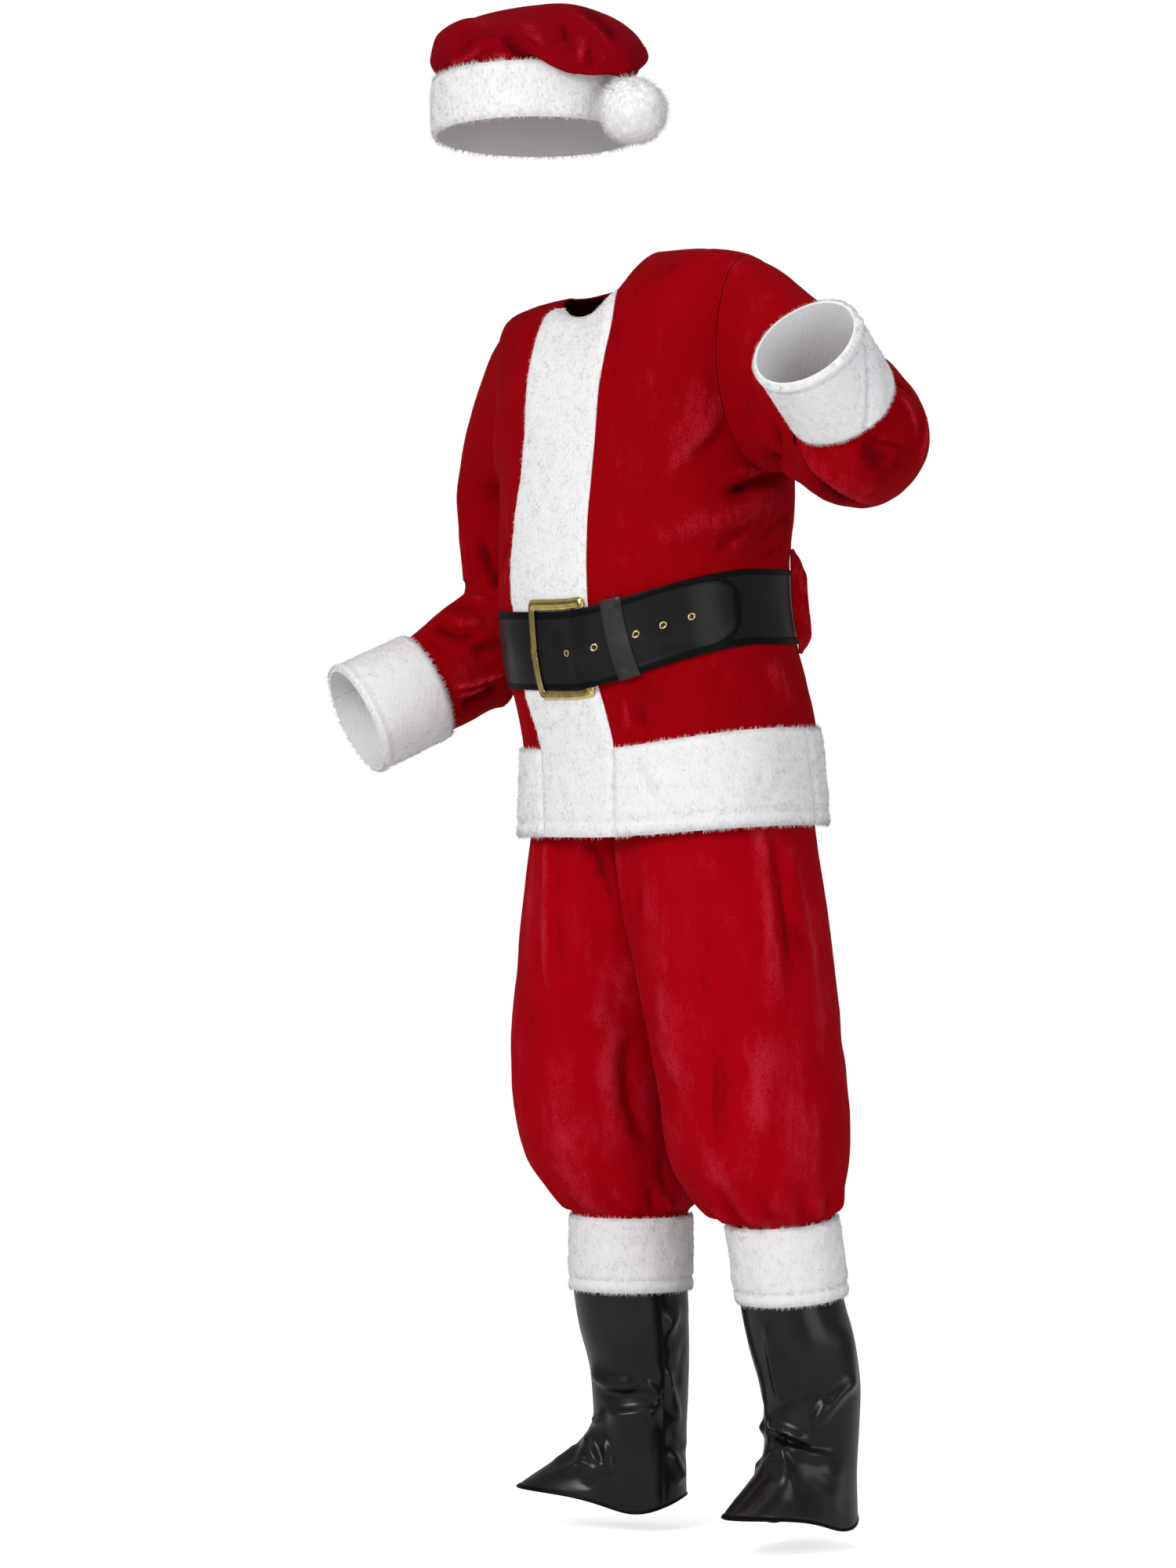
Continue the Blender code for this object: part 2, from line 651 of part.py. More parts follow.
def make_belt_loops():
    """A strip of the jacket's cloth on each side, sewn above and below the belt and twisted out between."""
    heights, distances, twists = np.array(LOOP_ROWS).T
    rows = body_row(BELT_MID + heights)
    twist = np.radians(twists)[:, None]
    edges = np.array([-1.0, 0.0, 1.0])
    lift = distances[:, None] + LOOP_HALF_WIDTH * np.sin(twist) * edges
    for side, sign in (("left", 1.0), ("right", -1.0)):
        columns = sign * np.radians(LOOP_ANGLE + LOOP_HALF_ANGLE * np.cos(twist) * edges)
        places = np.broadcast_to(rows[:, None], columns.shape)
        inner = moved_out(body_surface, columns, places, lift)
        bend = np.gradient(inner, axis=0)
        across = np.gradient(inner, axis=1)
        normal = unit(np.cross(across, bend))
        away = inner.copy()
        away[..., 2] = 0.0
        normal = np.where((np.sum(normal * away, axis=-1) > 0)[..., None], normal, -normal)
        wall("belt_loop_" + side, inner + CLOTH * normal, inner, PLUSH)


# ---------------------------------------------------------------- belt

def strap_lift(degrees):
    """The distance of the strap's inner face from the body at an angle along the strap."""
    angles, lifts = np.array(STRAP_LIFT).T
    return np.interp(degrees, angles, lifts)


def strap_half_height(degrees):
    """The strap's half-height as a share of the full one, which falls away at the round tip."""
    angles, shares = np.array(TIP_SHAPE).T
    return np.interp(degrees, angles, shares)


def strap_columns(rows):
    """The angles of the strap's columns: those of the panels below it, then finer over itself."""
    left = front_columns(rows, "left")
    back = back_columns(rows)
    right = 2 * np.pi + front_columns(rows, "right")[:, ::-1]
    first = np.concatenate([left[:, :-1], back[:, :-1], right], axis=1)
    first = first[:, np.degrees(first).min(axis=0) > STRAP_START + 1.0]
    first = first[:, np.degrees(first).max(axis=0) < OVERLAP_START - 1.0]
    start = np.full((len(rows), 1), np.radians(STRAP_START))
    over = np.radians([angle for angle, lift in STRAP_LIFT if angle >= OVERLAP_START])
    over = np.broadcast_to(over, (len(rows), len(over)))
    return np.concatenate([start, first, over], axis=1)


def make_strap():
    """The strap, one long band in a turn and a fifth round the body."""
    rows = np.array([body_row(level) for level in (BELT_LOW, BELT_MID, BELT_HIGH)])
    columns = strap_columns(rows)
    degrees = np.degrees(columns)
    share = strap_half_height(degrees)
    places = rows[1] + (rows[:, None] - rows[1]) * share
    lift = strap_lift(degrees)
    inner = moved_out(body_surface, columns, places, lift)
    outer = moved_out(body_surface, columns, places, lift + STRAP)
    wall("belt_strap", outer, inner, BELT)


def rows_per_mm():
    """Body rows for a millimetre of height at the belt."""
    return (body_row(BELT_HIGH) - body_row(BELT_LOW)) / (BELT_HIGH - BELT_LOW)


def frame_outline(half_length, half_height, corner):
    """A rectangle with round corners, from the middle of its top edge and back to it."""
    bend = np.radians(np.array([0.0, 45.0, 90.0]))
    along = np.linspace(0, half_length - corner, BUCKLE_STEPS)[:-1]
    top = np.stack([along, half_height + 0 * along], -1)
    turned = np.stack([
        half_length - corner + corner * np.sin(bend), half_height - corner + corner * np.cos(bend),
    ], -1)
    down = np.linspace(half_height - corner, 0, BUCKLE_STEPS)[1:]
    side = np.stack([half_length + 0 * down, down], -1)
    quarter = np.concatenate([top, turned, side])
    half = np.concatenate([quarter, quarter[-2::-1] * (1, -1)])
    return np.concatenate([half, half[-2:0:-1] * (-1, 1)])


def make_buckle():
    """A rectangular frame that follows the belly, a little taller than the strap."""
    outside = frame_outline(BUCKLE_HALF_LENGTH, BUCKLE_HALF_HEIGHT, BUCKLE_CORNER)
    hole_length, hole_height = BUCKLE_HALF_LENGTH - BUCKLE_BAR, BUCKLE_HALF_HEIGHT - BUCKLE_BAR
    inside = frame_outline(hole_length, hole_height, BUCKLE_CORNER / 3)
    flat = np.stack([outside, inside])
    columns = np.radians(BUCKLE_ANGLE) + flat[..., 0] / FRONT_RADIUS
    places = body_row(BELT_MID) + flat[..., 1] * rows_per_mm()
    shape = columns.shape
    inner = moved_out(body_surface, columns, places, np.full(shape, BUCKLE_INNER))
    outer = moved_out(body_surface, columns, places, np.full(shape, BUCKLE_OUTER))
    wall("belt_buckle", outer, inner, GOLD, ring=True)


def make_keeper():
    """A narrow band round the overlapped strap, with a lip over each edge."""
    columns = np.radians(np.array(KEEPER_ANGLES))
    low = BELT_LOW - BELT_MID
    high = BELT_HIGH - BELT_MID
    near, past = KEEPER_LIP
    heights = np.array([
        low - KEEPER_PAST, low - past, low - near, 0.0, high + near, high + past, high + KEEPER_PAST,
    ])
    lips = np.array([1.0, 1.0, 0.0, 0.0, 0.0, 1.0, 1.0])[:, None]
    places = (body_row(BELT_MID) + heights * rows_per_mm())[:, None] + 0 * columns
    columns = np.broadcast_to(columns, places.shape)
    over = strap_lift(STRAP_TURN + np.degrees(columns)) + STRAP + KEEPER_GAP
    reach = over - lips * (STRAP + KEEPER_GAP)
    inner = moved_out(body_surface, columns, places, reach)
    outer = moved_out(body_surface, columns, places, over + KEEPER_THICK)
    wall("belt_keeper", outer, inner, BELT)


def make_eyelets():
    """Five flat brass rings along the strap's middle, on its outer face."""
    turn = np.linspace(0, 2 * np.pi, EYELET_SIDES, endpoint=False)
    radii = np.array([EYELET_OUTER, EYELET_HOLE])[:, None]
    for number, degrees in enumerate(EYELET_ANGLES, 1):
        middle = moved_out(
            body_surface, np.radians([degrees]), np.array([body_row(BELT_MID)]), np.array([0.0]))[0]
        reach = np.linalg.norm(middle[:2])
        columns = np.radians(degrees) + radii * np.cos(turn) / reach
        places = body_row(BELT_MID) + radii * np.sin(turn) * rows_per_mm()
        lift = strap_lift(STRAP_TURN + np.degrees(columns)) + STRAP + EYELET_GAP
        inner = moved_out(body_surface, columns, places, lift)
        outer = moved_out(body_surface, columns, places, lift + EYELET_THICK)
        wall("belt_eyelet_%d" % number, outer, inner, BRASS, ring=True)


# ---------------------------------------------------------------- breeches

def leg_table(side):
    """Rows of a whole leg: level, middle x and y, half-width, depth, slope, offset of the oval.

    Above the fork a leg is the outer part of an oval that the middle plane cuts. Below it the oval
    is whole, because its offset is more than its half-width.
    """
    sign = 1.0 if side == "left" else -1.0
    rows = [
        (level, x + sign * offset, y, wide, depth, 0.0, offset)
        for level, x, y, offset, wide, depth in SEAT_ROWS
    ]
    rows += [(*row, row[3] + LEG_APART) for row in LEG_ROWS[side]]
    return rows


def leg_surface(side):
    """A leg's inner face as a function of the share round it and the row number.

    The share runs 0 to 1 from the front inner edge to the side seam and on to 2 at the back edge.
    """
    sign = 1.0 if side == "left" else -1.0
    table = leg_table(side)

    def surface(share, row):
        level, x, y, wide, depth, slope, offset = np.moveaxis(read_rows(table, row), -1, 0)
        inner = -np.arcsin(np.clip(offset / wide, -1.0, 1.0))
        front = inner + share * (np.pi / 2 - inner)
        back = np.pi / 2 + (share - 1) * (np.pi / 2 - inner)
        angle = np.where(share < 1, front, back)
        behind = -depth * np.cos(angle)
        return np.stack([x + sign * wide * np.sin(angle), y + behind, level + slope * behind], -1)

    return surface


def seat_row(level):
    """The row number of a level above the fork."""
    rows = np.linspace(0, len(SEAT_ROWS) - 1, READ_STEPS)
    return np.interp(-np.asarray(level), -read_rows(SEAT_ROWS, rows)[:, 0], rows)


def leg_rows():
    """The row numbers of a leg's sections, from below the waistband to inside the cuff."""
    fork = len(SEAT_ROWS) - 1
    above = np.linspace(seat_row(WAISTBAND_LEVEL), fork, LEG_ROWS_ABOVE_FORK)
    below = np.arange(fork + 1, fork + 1 + len(LEG_ROWS["left"]))
    return np.concatenate([above, below])


def leg_grid(side, start, end, rows, distance):
    """Points of one leg panel, moved out of the leg's surface, and kept off the middle plane."""
    share = np.broadcast_to(np.linspace(start, end, LEG_COLUMNS + 1), (len(rows), LEG_COLUMNS + 1))
    places = np.broadcast_to(rows[:, None], share.shape)
    sign = 1.0 if side == "left" else -1.0
    skin = moved_out(leg_surface(side), share, places, np.full(share.shape, -sign * distance))
    middle = read_rows(SEAT_ROWS, np.minimum(rows, len(SEAT_ROWS) - 1))[:, 1, None]
    reach = sign * (skin[..., 0] - middle)
    skin[..., 0] = middle + sign * np.maximum(reach, SEAM_GAP / 2)
    return skin


def make_breeches():
    """A front and a back for each leg, 0.3 apart at the middle, the sides and the inner legs."""
    rows = leg_rows()
    edge = SEAM_GAP / 2 / LEG_ROUND
    for side in ("left", "right"):
        for name, start, end in (("front", edge, 1 - edge), ("back", 1 + edge, 2 - edge)):
            outer = leg_grid(side, start, end, rows, CLOTH)
            inner = leg_grid(side, start, end, rows, 0.0)
            wall("breeches_%s_%s" % (name, side), outer, inner, PLUSH)


def make_waistband():
    """The gathered band at the waist, one ring on the breeches' upper edge."""
    levels = np.array([WAISTBAND_TOP, WAISTBAND_LEVEL + WAISTBAND_GAP])
    rows = seat_row(levels)
    rings = []
    for distance in (CLOTH + WAISTBAND_EXTRA, -WAISTBAND_EXTRA):
        halves = [
            np.concatenate([
                leg_grid(side, 0.0, 1.0, rows, distance)[:, :-1], leg_grid(side, 1.0, 2.0, rows, distance),
            ], axis=1)
            for side in ("left", "right")
        ]
        ring = np.concatenate([halves[0][:, 1:-1], halves[1][:, -2:0:-1]], axis=1)
        ring[..., 2] = levels[:, None]
        rings.append(ring)
    wall("breeches_waistband", rings[0], rings[1], PLUSH, ring=True)


def make_leg_cuffs():
    """Two fur cuffs, each a plain ring over the gathered end of a leg."""
    turn = np.linspace(0, 2 * np.pi, LEG_CUFF_COLUMNS, endpoint=False)
    share = np.array([0.0, 1.0])[:, None]
    for side, (top, low, radius, slope) in LEG_CUFFS.items():
        middle = np.array(top) * (1 - share) + np.array(low) * share
        rings = []
        for reach in (radius + LEG_CUFF_FUR, radius):
            across = reach * np.sin(turn)
            behind = -reach * np.cos(turn)
            spoke = np.stack([across, behind, slope * behind], -1)
            rings.append(middle[:, None, :] + spoke[None])
        wall("leg_cuff_" + side, rings[0], rings[1], FUR, ring=True)


# ---------------------------------------------------------------- boot covers

def boot_surface(side):
    """A boot cover's inner face as a function of the angle from the toe and the row number."""
    (ankle_x, ankle_y), toe, top_shift, slim = BOOTS[side]
    toe = unit(toe)
    across = np.array([-toe[1], toe[0]])

    def surface(angle, row):
        level, shift, to_toe, to_heel, wide, up_toe, up_heel = np.moveaxis(read_rows(BOOT_ROWS, row), -1, 0)
        size = 1 - slim * shift
        side_way, back_way = oval(angle, wide * size, to_toe * size, to_heel * size, 2.0)
        forward = -back_way
        ahead = np.cos(angle)
        rise = ahead ** 2 * np.where(ahead > 0, up_toe, up_heel)
        x = ankle_x + shift * top_shift[0] + forward * toe[0] + side_way * across[0]
        y = ankle_y + shift * top_shift[1] + forward * toe[1] + side_way * across[1]
        return np.stack([x, y, level + rise], -1)

    return surface


def make_boot_covers():
    """For each foot a panel round the front and one up the back, flared over the instep."""
    rows = np.linspace(0, len(BOOT_ROWS) - 1, BOOT_STATIONS)
    seam = np.radians(BOOT_SEAM)
    inset = SEAM_GAP / 2 / BOOT_RADIUS
    spans = (
        ("front", -seam + inset, seam - inset, BOOT_FRONT_COLUMNS),
        ("back", seam + inset, 2 * np.pi - seam - inset, BOOT_BACK_COLUMNS),
    )
    for side in ("left", "right"):
        surface = boot_surface(side)
        for name, start, end, steps in spans:
            columns = np.broadcast_to(np.linspace(start, end, steps + 1), (len(rows), steps + 1))
            places = np.broadcast_to(rows[:, None], columns.shape)
            inner = surface(columns, places)
            outer = moved_out(surface, columns, places, np.full(columns.shape, VINYL))
            middle = inner.mean(axis=(0, 1))
            if np.linalg.norm(outer[0] - middle) < np.linalg.norm(inner[0] - middle):
                outer = moved_out(surface, columns, places, np.full(columns.shape, -VINYL))
            wall("boot_cover_%s_%s" % (name, side), outer, inner, BOOT)


# ---------------------------------------------------------------- hat

def hat_point(along, across, up):
    """A place on the hat, from the middle of the brim's upper edge, with the hat's own slope."""
    way = unit(FLOP_WAY)
    x = way[0] * along - way[1] * across
    y = way[1] * along + way[0] * across
    z = up + HAT_SLOPE[0] * x + HAT_SLOPE[1] * y
    return np.stack([x, y, z], -1) + np.array(HAT_MIDDLE)


def crown_surface(angle, row):
    """The crown's outer face: ovals that fan out from the fold under the flop."""
    fold_a, fold_up, line_a, line_up, wide, droop = np.moveaxis(read_rows(CROWN_ROWS, row), -1, 0)
    share = (1 + np.cos(angle)) / 2
    along = line_a * share + fold_a * (1 - share)
    up = line_up * share + fold_up * (1 - share)
    across = wide * np.sin(angle)
    up = up - droop * np.maximum(-np.sin(angle), 0) ** 2
    return hat_point(along, across, up)


def make_crown():
    """The plush crown, closed at the tail's end, which lies on the pom-pom."""
    stations = np.linspace(0, len(CROWN_ROWS) - 1, CROWN_STATIONS)
    turn = np.linspace(0, 2 * np.pi, CROWN_COLUMNS, endpoint=False)
    columns = np.broadcast_to(turn, (CROWN_STATIONS, CROWN_COLUMNS))
    places = np.broadcast_to(stations[:, None], columns.shape)
    outer = crown_surface(columns, places)
    normal = grid_normals(outer, outer.mean(axis=1))
    wall("hat_crown", outer, outer - CLOTH * normal, PLUSH, ring=True, closed_end=True)


def make_brim():
    """The fur band round the hat's opening."""
    turn = np.linspace(0, 2 * np.pi, BRIM_COLUMNS, endpoint=False)[None, :]
    levels = np.array([BRIM_TOP - BRIM_HEIGHT, BRIM_TOP])[:, None]
    rings = [
        hat_point(reach * np.cos(turn) + 0 * levels, reach * np.sin(turn) + 0 * levels, levels + 0 * turn)
        for reach in (BRIM_INNER + BAND_FUR, BRIM_INNER)
    ]
    wall("hat_brim", rings[0], rings[1], FUR, ring=True)


def make_pompom():
    """A ball on the tail's end, beside the brim."""
    middle = hat_point(np.array(POMPOM_ALONG), np.array(0.0), np.array(POMPOM_UP))
    lift = np.linspace(0, np.pi, POMPOM_RINGS + 1)[1:-1, None]
    turn = np.linspace(0, 2 * np.pi, POMPOM_SIDES, endpoint=False)[None, :]
    ball = np.stack([
        np.sin(lift) * np.cos(turn), np.sin(lift) * np.sin(turn), np.cos(lift) + 0 * turn,
    ], -1) * POMPOM_RADIUS + middle
    rows, columns = ball.shape[:2]
    numbers = np.arange(rows * columns).reshape(rows, columns)
    numbers = np.concatenate([numbers, numbers[:, :1]], axis=1)
    faces = [strip_faces(numbers[row], numbers[row + 1]) for row in range(rows - 1)]
    top = rows * columns
    faces.append(np.stack([numbers[0][1:], numbers[0][:-1], np.full(columns, top)], -1))
    faces.append(np.stack([numbers[-1][:-1], numbers[-1][1:], np.full(columns, top + 1)], -1))
    poles = middle + np.array([[0, 0, POMPOM_RADIUS], [0, 0, -POMPOM_RADIUS]])
    add_body("hat_pompom", np.concatenate([ball.reshape(-1, 3), poles]), np.concatenate(faces), FUR)


def main():
    """Clears the scene and makes every piece."""
    for old in list(bpy.data.objects):
        bpy.data.objects.remove(old)
    suit = bpy.data.objects.new("santa_suit", None)
    bpy.context.scene.collection.objects.link(suit)
    make_jacket_panels()
    make_front_band()
    make_hem_bands()
    make_sleeves()
    make_sleeve_cuffs()
    make_belt_loops()
    make_strap()
    make_buckle()
    make_keeper()
    make_eyelets()
    make_breeches()
    make_waistband()
    make_leg_cuffs()
    make_boot_covers()
    make_crown()
    make_brim()
    make_pompom()


main()
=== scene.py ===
"""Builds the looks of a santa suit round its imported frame.

The frame's pieces are plain walls. Here each gets a finer shell with its folds, seams and pile, and
each fur trim gets its fibres. Tables are in millimetres, with the floor at level 0, and every mesh
is moved to the frame's own origin, the middle of the neck, in metres.
"""

import json
import math

import bpy
import numpy as np
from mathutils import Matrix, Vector

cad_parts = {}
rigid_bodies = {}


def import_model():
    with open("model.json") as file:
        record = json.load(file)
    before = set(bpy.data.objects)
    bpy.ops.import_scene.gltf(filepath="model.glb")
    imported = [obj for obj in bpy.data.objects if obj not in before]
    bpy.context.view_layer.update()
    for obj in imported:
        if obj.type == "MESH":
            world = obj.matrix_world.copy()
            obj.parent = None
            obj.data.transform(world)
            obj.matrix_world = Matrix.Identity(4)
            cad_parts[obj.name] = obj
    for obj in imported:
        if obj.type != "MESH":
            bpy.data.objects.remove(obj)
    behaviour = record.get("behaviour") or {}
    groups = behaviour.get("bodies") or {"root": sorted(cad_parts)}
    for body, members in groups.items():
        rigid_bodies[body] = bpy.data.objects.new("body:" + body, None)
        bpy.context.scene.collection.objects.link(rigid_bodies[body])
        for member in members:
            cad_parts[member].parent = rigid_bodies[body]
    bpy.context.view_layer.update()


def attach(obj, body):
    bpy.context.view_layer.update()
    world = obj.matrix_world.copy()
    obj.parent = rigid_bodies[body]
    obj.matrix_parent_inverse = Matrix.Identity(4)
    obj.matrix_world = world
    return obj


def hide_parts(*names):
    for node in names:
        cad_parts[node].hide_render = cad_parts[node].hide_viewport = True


for old in list(bpy.data.objects):
    bpy.data.objects.remove(old)

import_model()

bl_info = {
    "name": "Santa Suit",
    "version": (1, 0, 0),
    "blender": (4, 5, 0),
    "location": "View3D > Sidebar > Santa Suit",
    "description": "Makes a worn santa suit: jacket, belt, breeches, boot covers and hat",
    "category": "Add Mesh",
}

MM = 0.001
NECK = (-24, -21, 1516)
ROOT = "root"

# Thicknesses and gaps, as in the frame.
CLOTH = 2.0
VINYL = 1.5
SEAM_GAP = 0.3
PLACKET_FUR = 5.0
PRESSED_FUR = 3.0
BAND_FUR = 6.0
STRAP = 2.0

# The jacket's body, a row for each level from the hem to the neck.
BODY_ROWS = (
    # level    cx    cy  width  front  back  square  left  right  front  back  band_r  band_l  side
    (867, 25, 23, 191, 156, 156, 2.3, 8, -8, -7, 7, -26, 16, 103),
    (925, 24, 22, 187, 153, 153, 2.3, 9, -9, -9, 9, -28, 16, 102),
    (980, 22, 20, 184, 150, 150, 2.3, 12, -12, -14, 14, -30, 16, 101),
    (1035, 14, 13, 182, 149, 148, 2.3, 19, -19, -25, 25, -32, 16, 100),
    (1090, 4, 4, 179, 149, 147, 2.3, 25, -25, -32, 32, -33, 16, 98),
    (1145, 0, 0, 180, 150, 148, 2.3, 24, -24, -31, 31, -33, 16, 96),
    (1200, 0, 0, 185, 152, 149, 2.3, 17, -20, -20, 20, -34, 15, 94),
    (1250, 2, 1, 188, 149, 148, 2.3, 9, -15, -10, 10, -34, 14, 92),
    (1300, 1, 0, 191, 144, 146, 2.3, 6, -12, -4, 5, -31, 16, 91),
    (1350, 0, -2, 194, 138, 143, 2.3, 14, -6, -2, 3, -30, 18, 90),
    (1400, -2, -5, 197, 130, 138, 2.3, 30, 0, -6, 3, -31, 20, 90),
    (1445, -4, -9, 198, 117, 127, 2.3, 58, 8, -14, 6, -33, 24, 90),
    (1482, -8, -13, 183, 99, 108, 2.2, 76, 14, -24, 14, -37, 29, 90),
    (1508, -16, -18, 130, 80, 84, 2.1, 62, 5, -27, 19, -42, 35, 90),
    (1520, -24, -21, 72, 62, 60, 2, 50, 1, -34, 24, -48, 42, 90),
)
BODY_RADIUS = 166.0
HEM = 867.0
HEM_STITCH = 886.0
CLOTH_EDGE = 962.0
BAND_TOP = 980.0
BELT_LOW = 1069.0
BELT_MID = 1115.0
BELT_HIGH = 1161.0
ARMHOLE_LOW = 7.9
ARMHOLE_HIGH = 12.0
ARMHOLE_WIDE = 0.36

# Folds of the jacket. A fold is a curve through three places, each an angle round the body and a
# level. Its height is out of the cloth, or into it below 0, and it falls off over its two
# half-widths, the first on the curve's left.
JACKET_FOLDS = (
    # angle, level   angle, level    angle, level   height  left  right
    (106, 1311, 87, 1297, 68, 1279, 5, 5, 13), (106, 1300, 87, 1285, 69, 1262, -8, 14, 6),
    (77, 1416, 68, 1350, 46, 1290, 4.5, 11, 26), (80, 1354, 68, 1329, 54, 1306, -4, 12, 8),
    (112, 1252, 99, 1222, 82, 1190, -3.6, 8, 12), (100, 1284, 84, 1247, 60, 1214, 4, 12, 14),
    (84, 1222, 75, 1204, 67, 1182, -4.5, 6, 8), (108, 1200, 98, 1186, 86, 1172, -3, 6, 8),
    (70, 1250, 56, 1226, 38, 1212, 2.8, 18, 20), (28, 1052, 26, 1026, 24, 990, 3.2, 5, 8),
    (34, 1058, 33, 1028, 31, 996, -2.4, 8, 9), (60, 1052, 68, 1020, 82, 996, -3.6, 12, 16),
    (88, 1056, 92, 1026, 96, 990, 2.6, 14, 14), (-36, 1240, -46, 1220, -60, 1190, -3.4, 10, 12),
    (-66, 1300, -78, 1282, -98, 1276, -6, 9, 9), (-70, 1318, -82, 1300, -100, 1294, 4, 10, 10),
    (-50, 1400, -58, 1350, -66, 1310, 3.5, 16, 18), (-88, 1240, -100, 1214, -116, 1180, -5, 9, 12),
    (-40, 1056, -38, 1020, -36, 985, 2.6, 8, 8), (-74, 1052, -84, 1020, -90, 990, -3.4, 12, 12),
    (128, 1180, 134, 1250, 128, 1330, -5.5, 12, 16), (146, 1176, 152, 1230, 150, 1290, 4, 14, 14),
    (168, 1174, 172, 1240, 178, 1310, -4.5, 12, 14), (196, 1172, 192, 1220, 186, 1270, 4.2, 12, 14),
    (216, 1174, 212, 1250, 220, 1340, -5, 12, 14), (236, 1176, 232, 1210, 226, 1252, 3.6, 11, 12),
    (120, 1400, 150, 1386, 178, 1392, -3.6, 16, 14), (184, 1430, 214, 1412, 244, 1424, 3, 16, 16),
    (140, 1056, 142, 1020, 138, 985, -4, 10, 10), (176, 1056, 180, 1018, 184, 985, 4, 12, 12),
    (212, 1056, 214, 1020, 208, 985, -4, 10, 10),
)
HEM_FOLDS = (
    (32, 966, 36, 930, 43, 890, 2.6, 10, 7), (27, 960, 31, 930, 36, 896, -2, 9, 9),
    (74, 966, 71, 930, 66, 896, 1.4, 12, 12), (-34, 966, -38, 930, -44, 890, 2, 10, 10),
    (150, 966, 158, 930, 160, 890, 2.2, 12, 12), (206, 966, 202, 930, 208, 890, -2, 12, 12),
)
# Places where the nap looks lighter, or darker below 0: a curve as above, how much lighter, and its
# half-widths. Some are patches of brushed nap, and some are painted light: painted highlights along
# the ridges of folds above, and painted shade on the shoulder.
JACKET_NAP_AND_SHADING = (
    (77, 1416, 68, 1352, 48, 1292, 0.42, 8, 14), (63, 1264, 70, 1250, 80, 1236, 0.24, 12, 12),
    (50, 1240, 68, 1226, 88, 1220, 0.18, 24, 24), (62, 1192, 73, 1199, 86, 1209, 0.34, 8, 8),
    (20, 1214, 33, 1203, 46, 1190, 0.26, 14, 14), (10, 1496, 46, 1500, 80, 1490, -0.2, 26, 26),
    (94, 1050, 95, 1020, 96, 985, 0.35, 9, 9), (28, 1056, 26, 1026, 24, 985, 0.35, 3, 3),
    (150, 1420, 190, 1300, 160, 1190, 0.35, 22, 22), (220, 1380, 236, 1290, 228, 1200, 0.30, 16, 16),
)

# The sleeves, a row for each section from the armhole to inside the cuff.
SLEEVE_ROWS = {
    # centre x     y       z    height  depth
    "left": (
        (192, -6, 1428, 118, 66), (252, -12, 1402, 94, 80), (312, -22, 1367, 86, 84),
        (366, -40, 1335, 86, 84), (400, -72, 1322, 80, 78), (408, -98, 1345, 70, 70),
        (411.5, -117, 1363, 58.7, 58.7), (413, -131, 1375, 58, 58),
    ),
    "right": (
        (-196, -2, 1392, 106, 66), (-234, 20, 1362, 80, 72), (-255, 42, 1298, 56, 76),
        (-253, 54, 1222, 61, 77), (-254, 60, 1165, 67, 77), (-262, 38, 1119, 68, 73),
        (-281, 2, 1090, 66, 70), (-301, -32, 1062, 65, 66), (-313.5, -56, 1047, 63, 63),
        (-321, -70, 1039.5, 62.5, 62.5),
    ),
}
SLEEVE_BLEND = 2.2
SLEEVE_RADIUS = 72.0
SLEEVE_STEP = 42.0
ELBOW = {"left": 4.1, "right": 4.4}
ELBOW_STEPS = 70
# The section from which the cuff covers a sleeve.
SLEEVE_COVERED = {"left": 5.75, "right": 7.75}

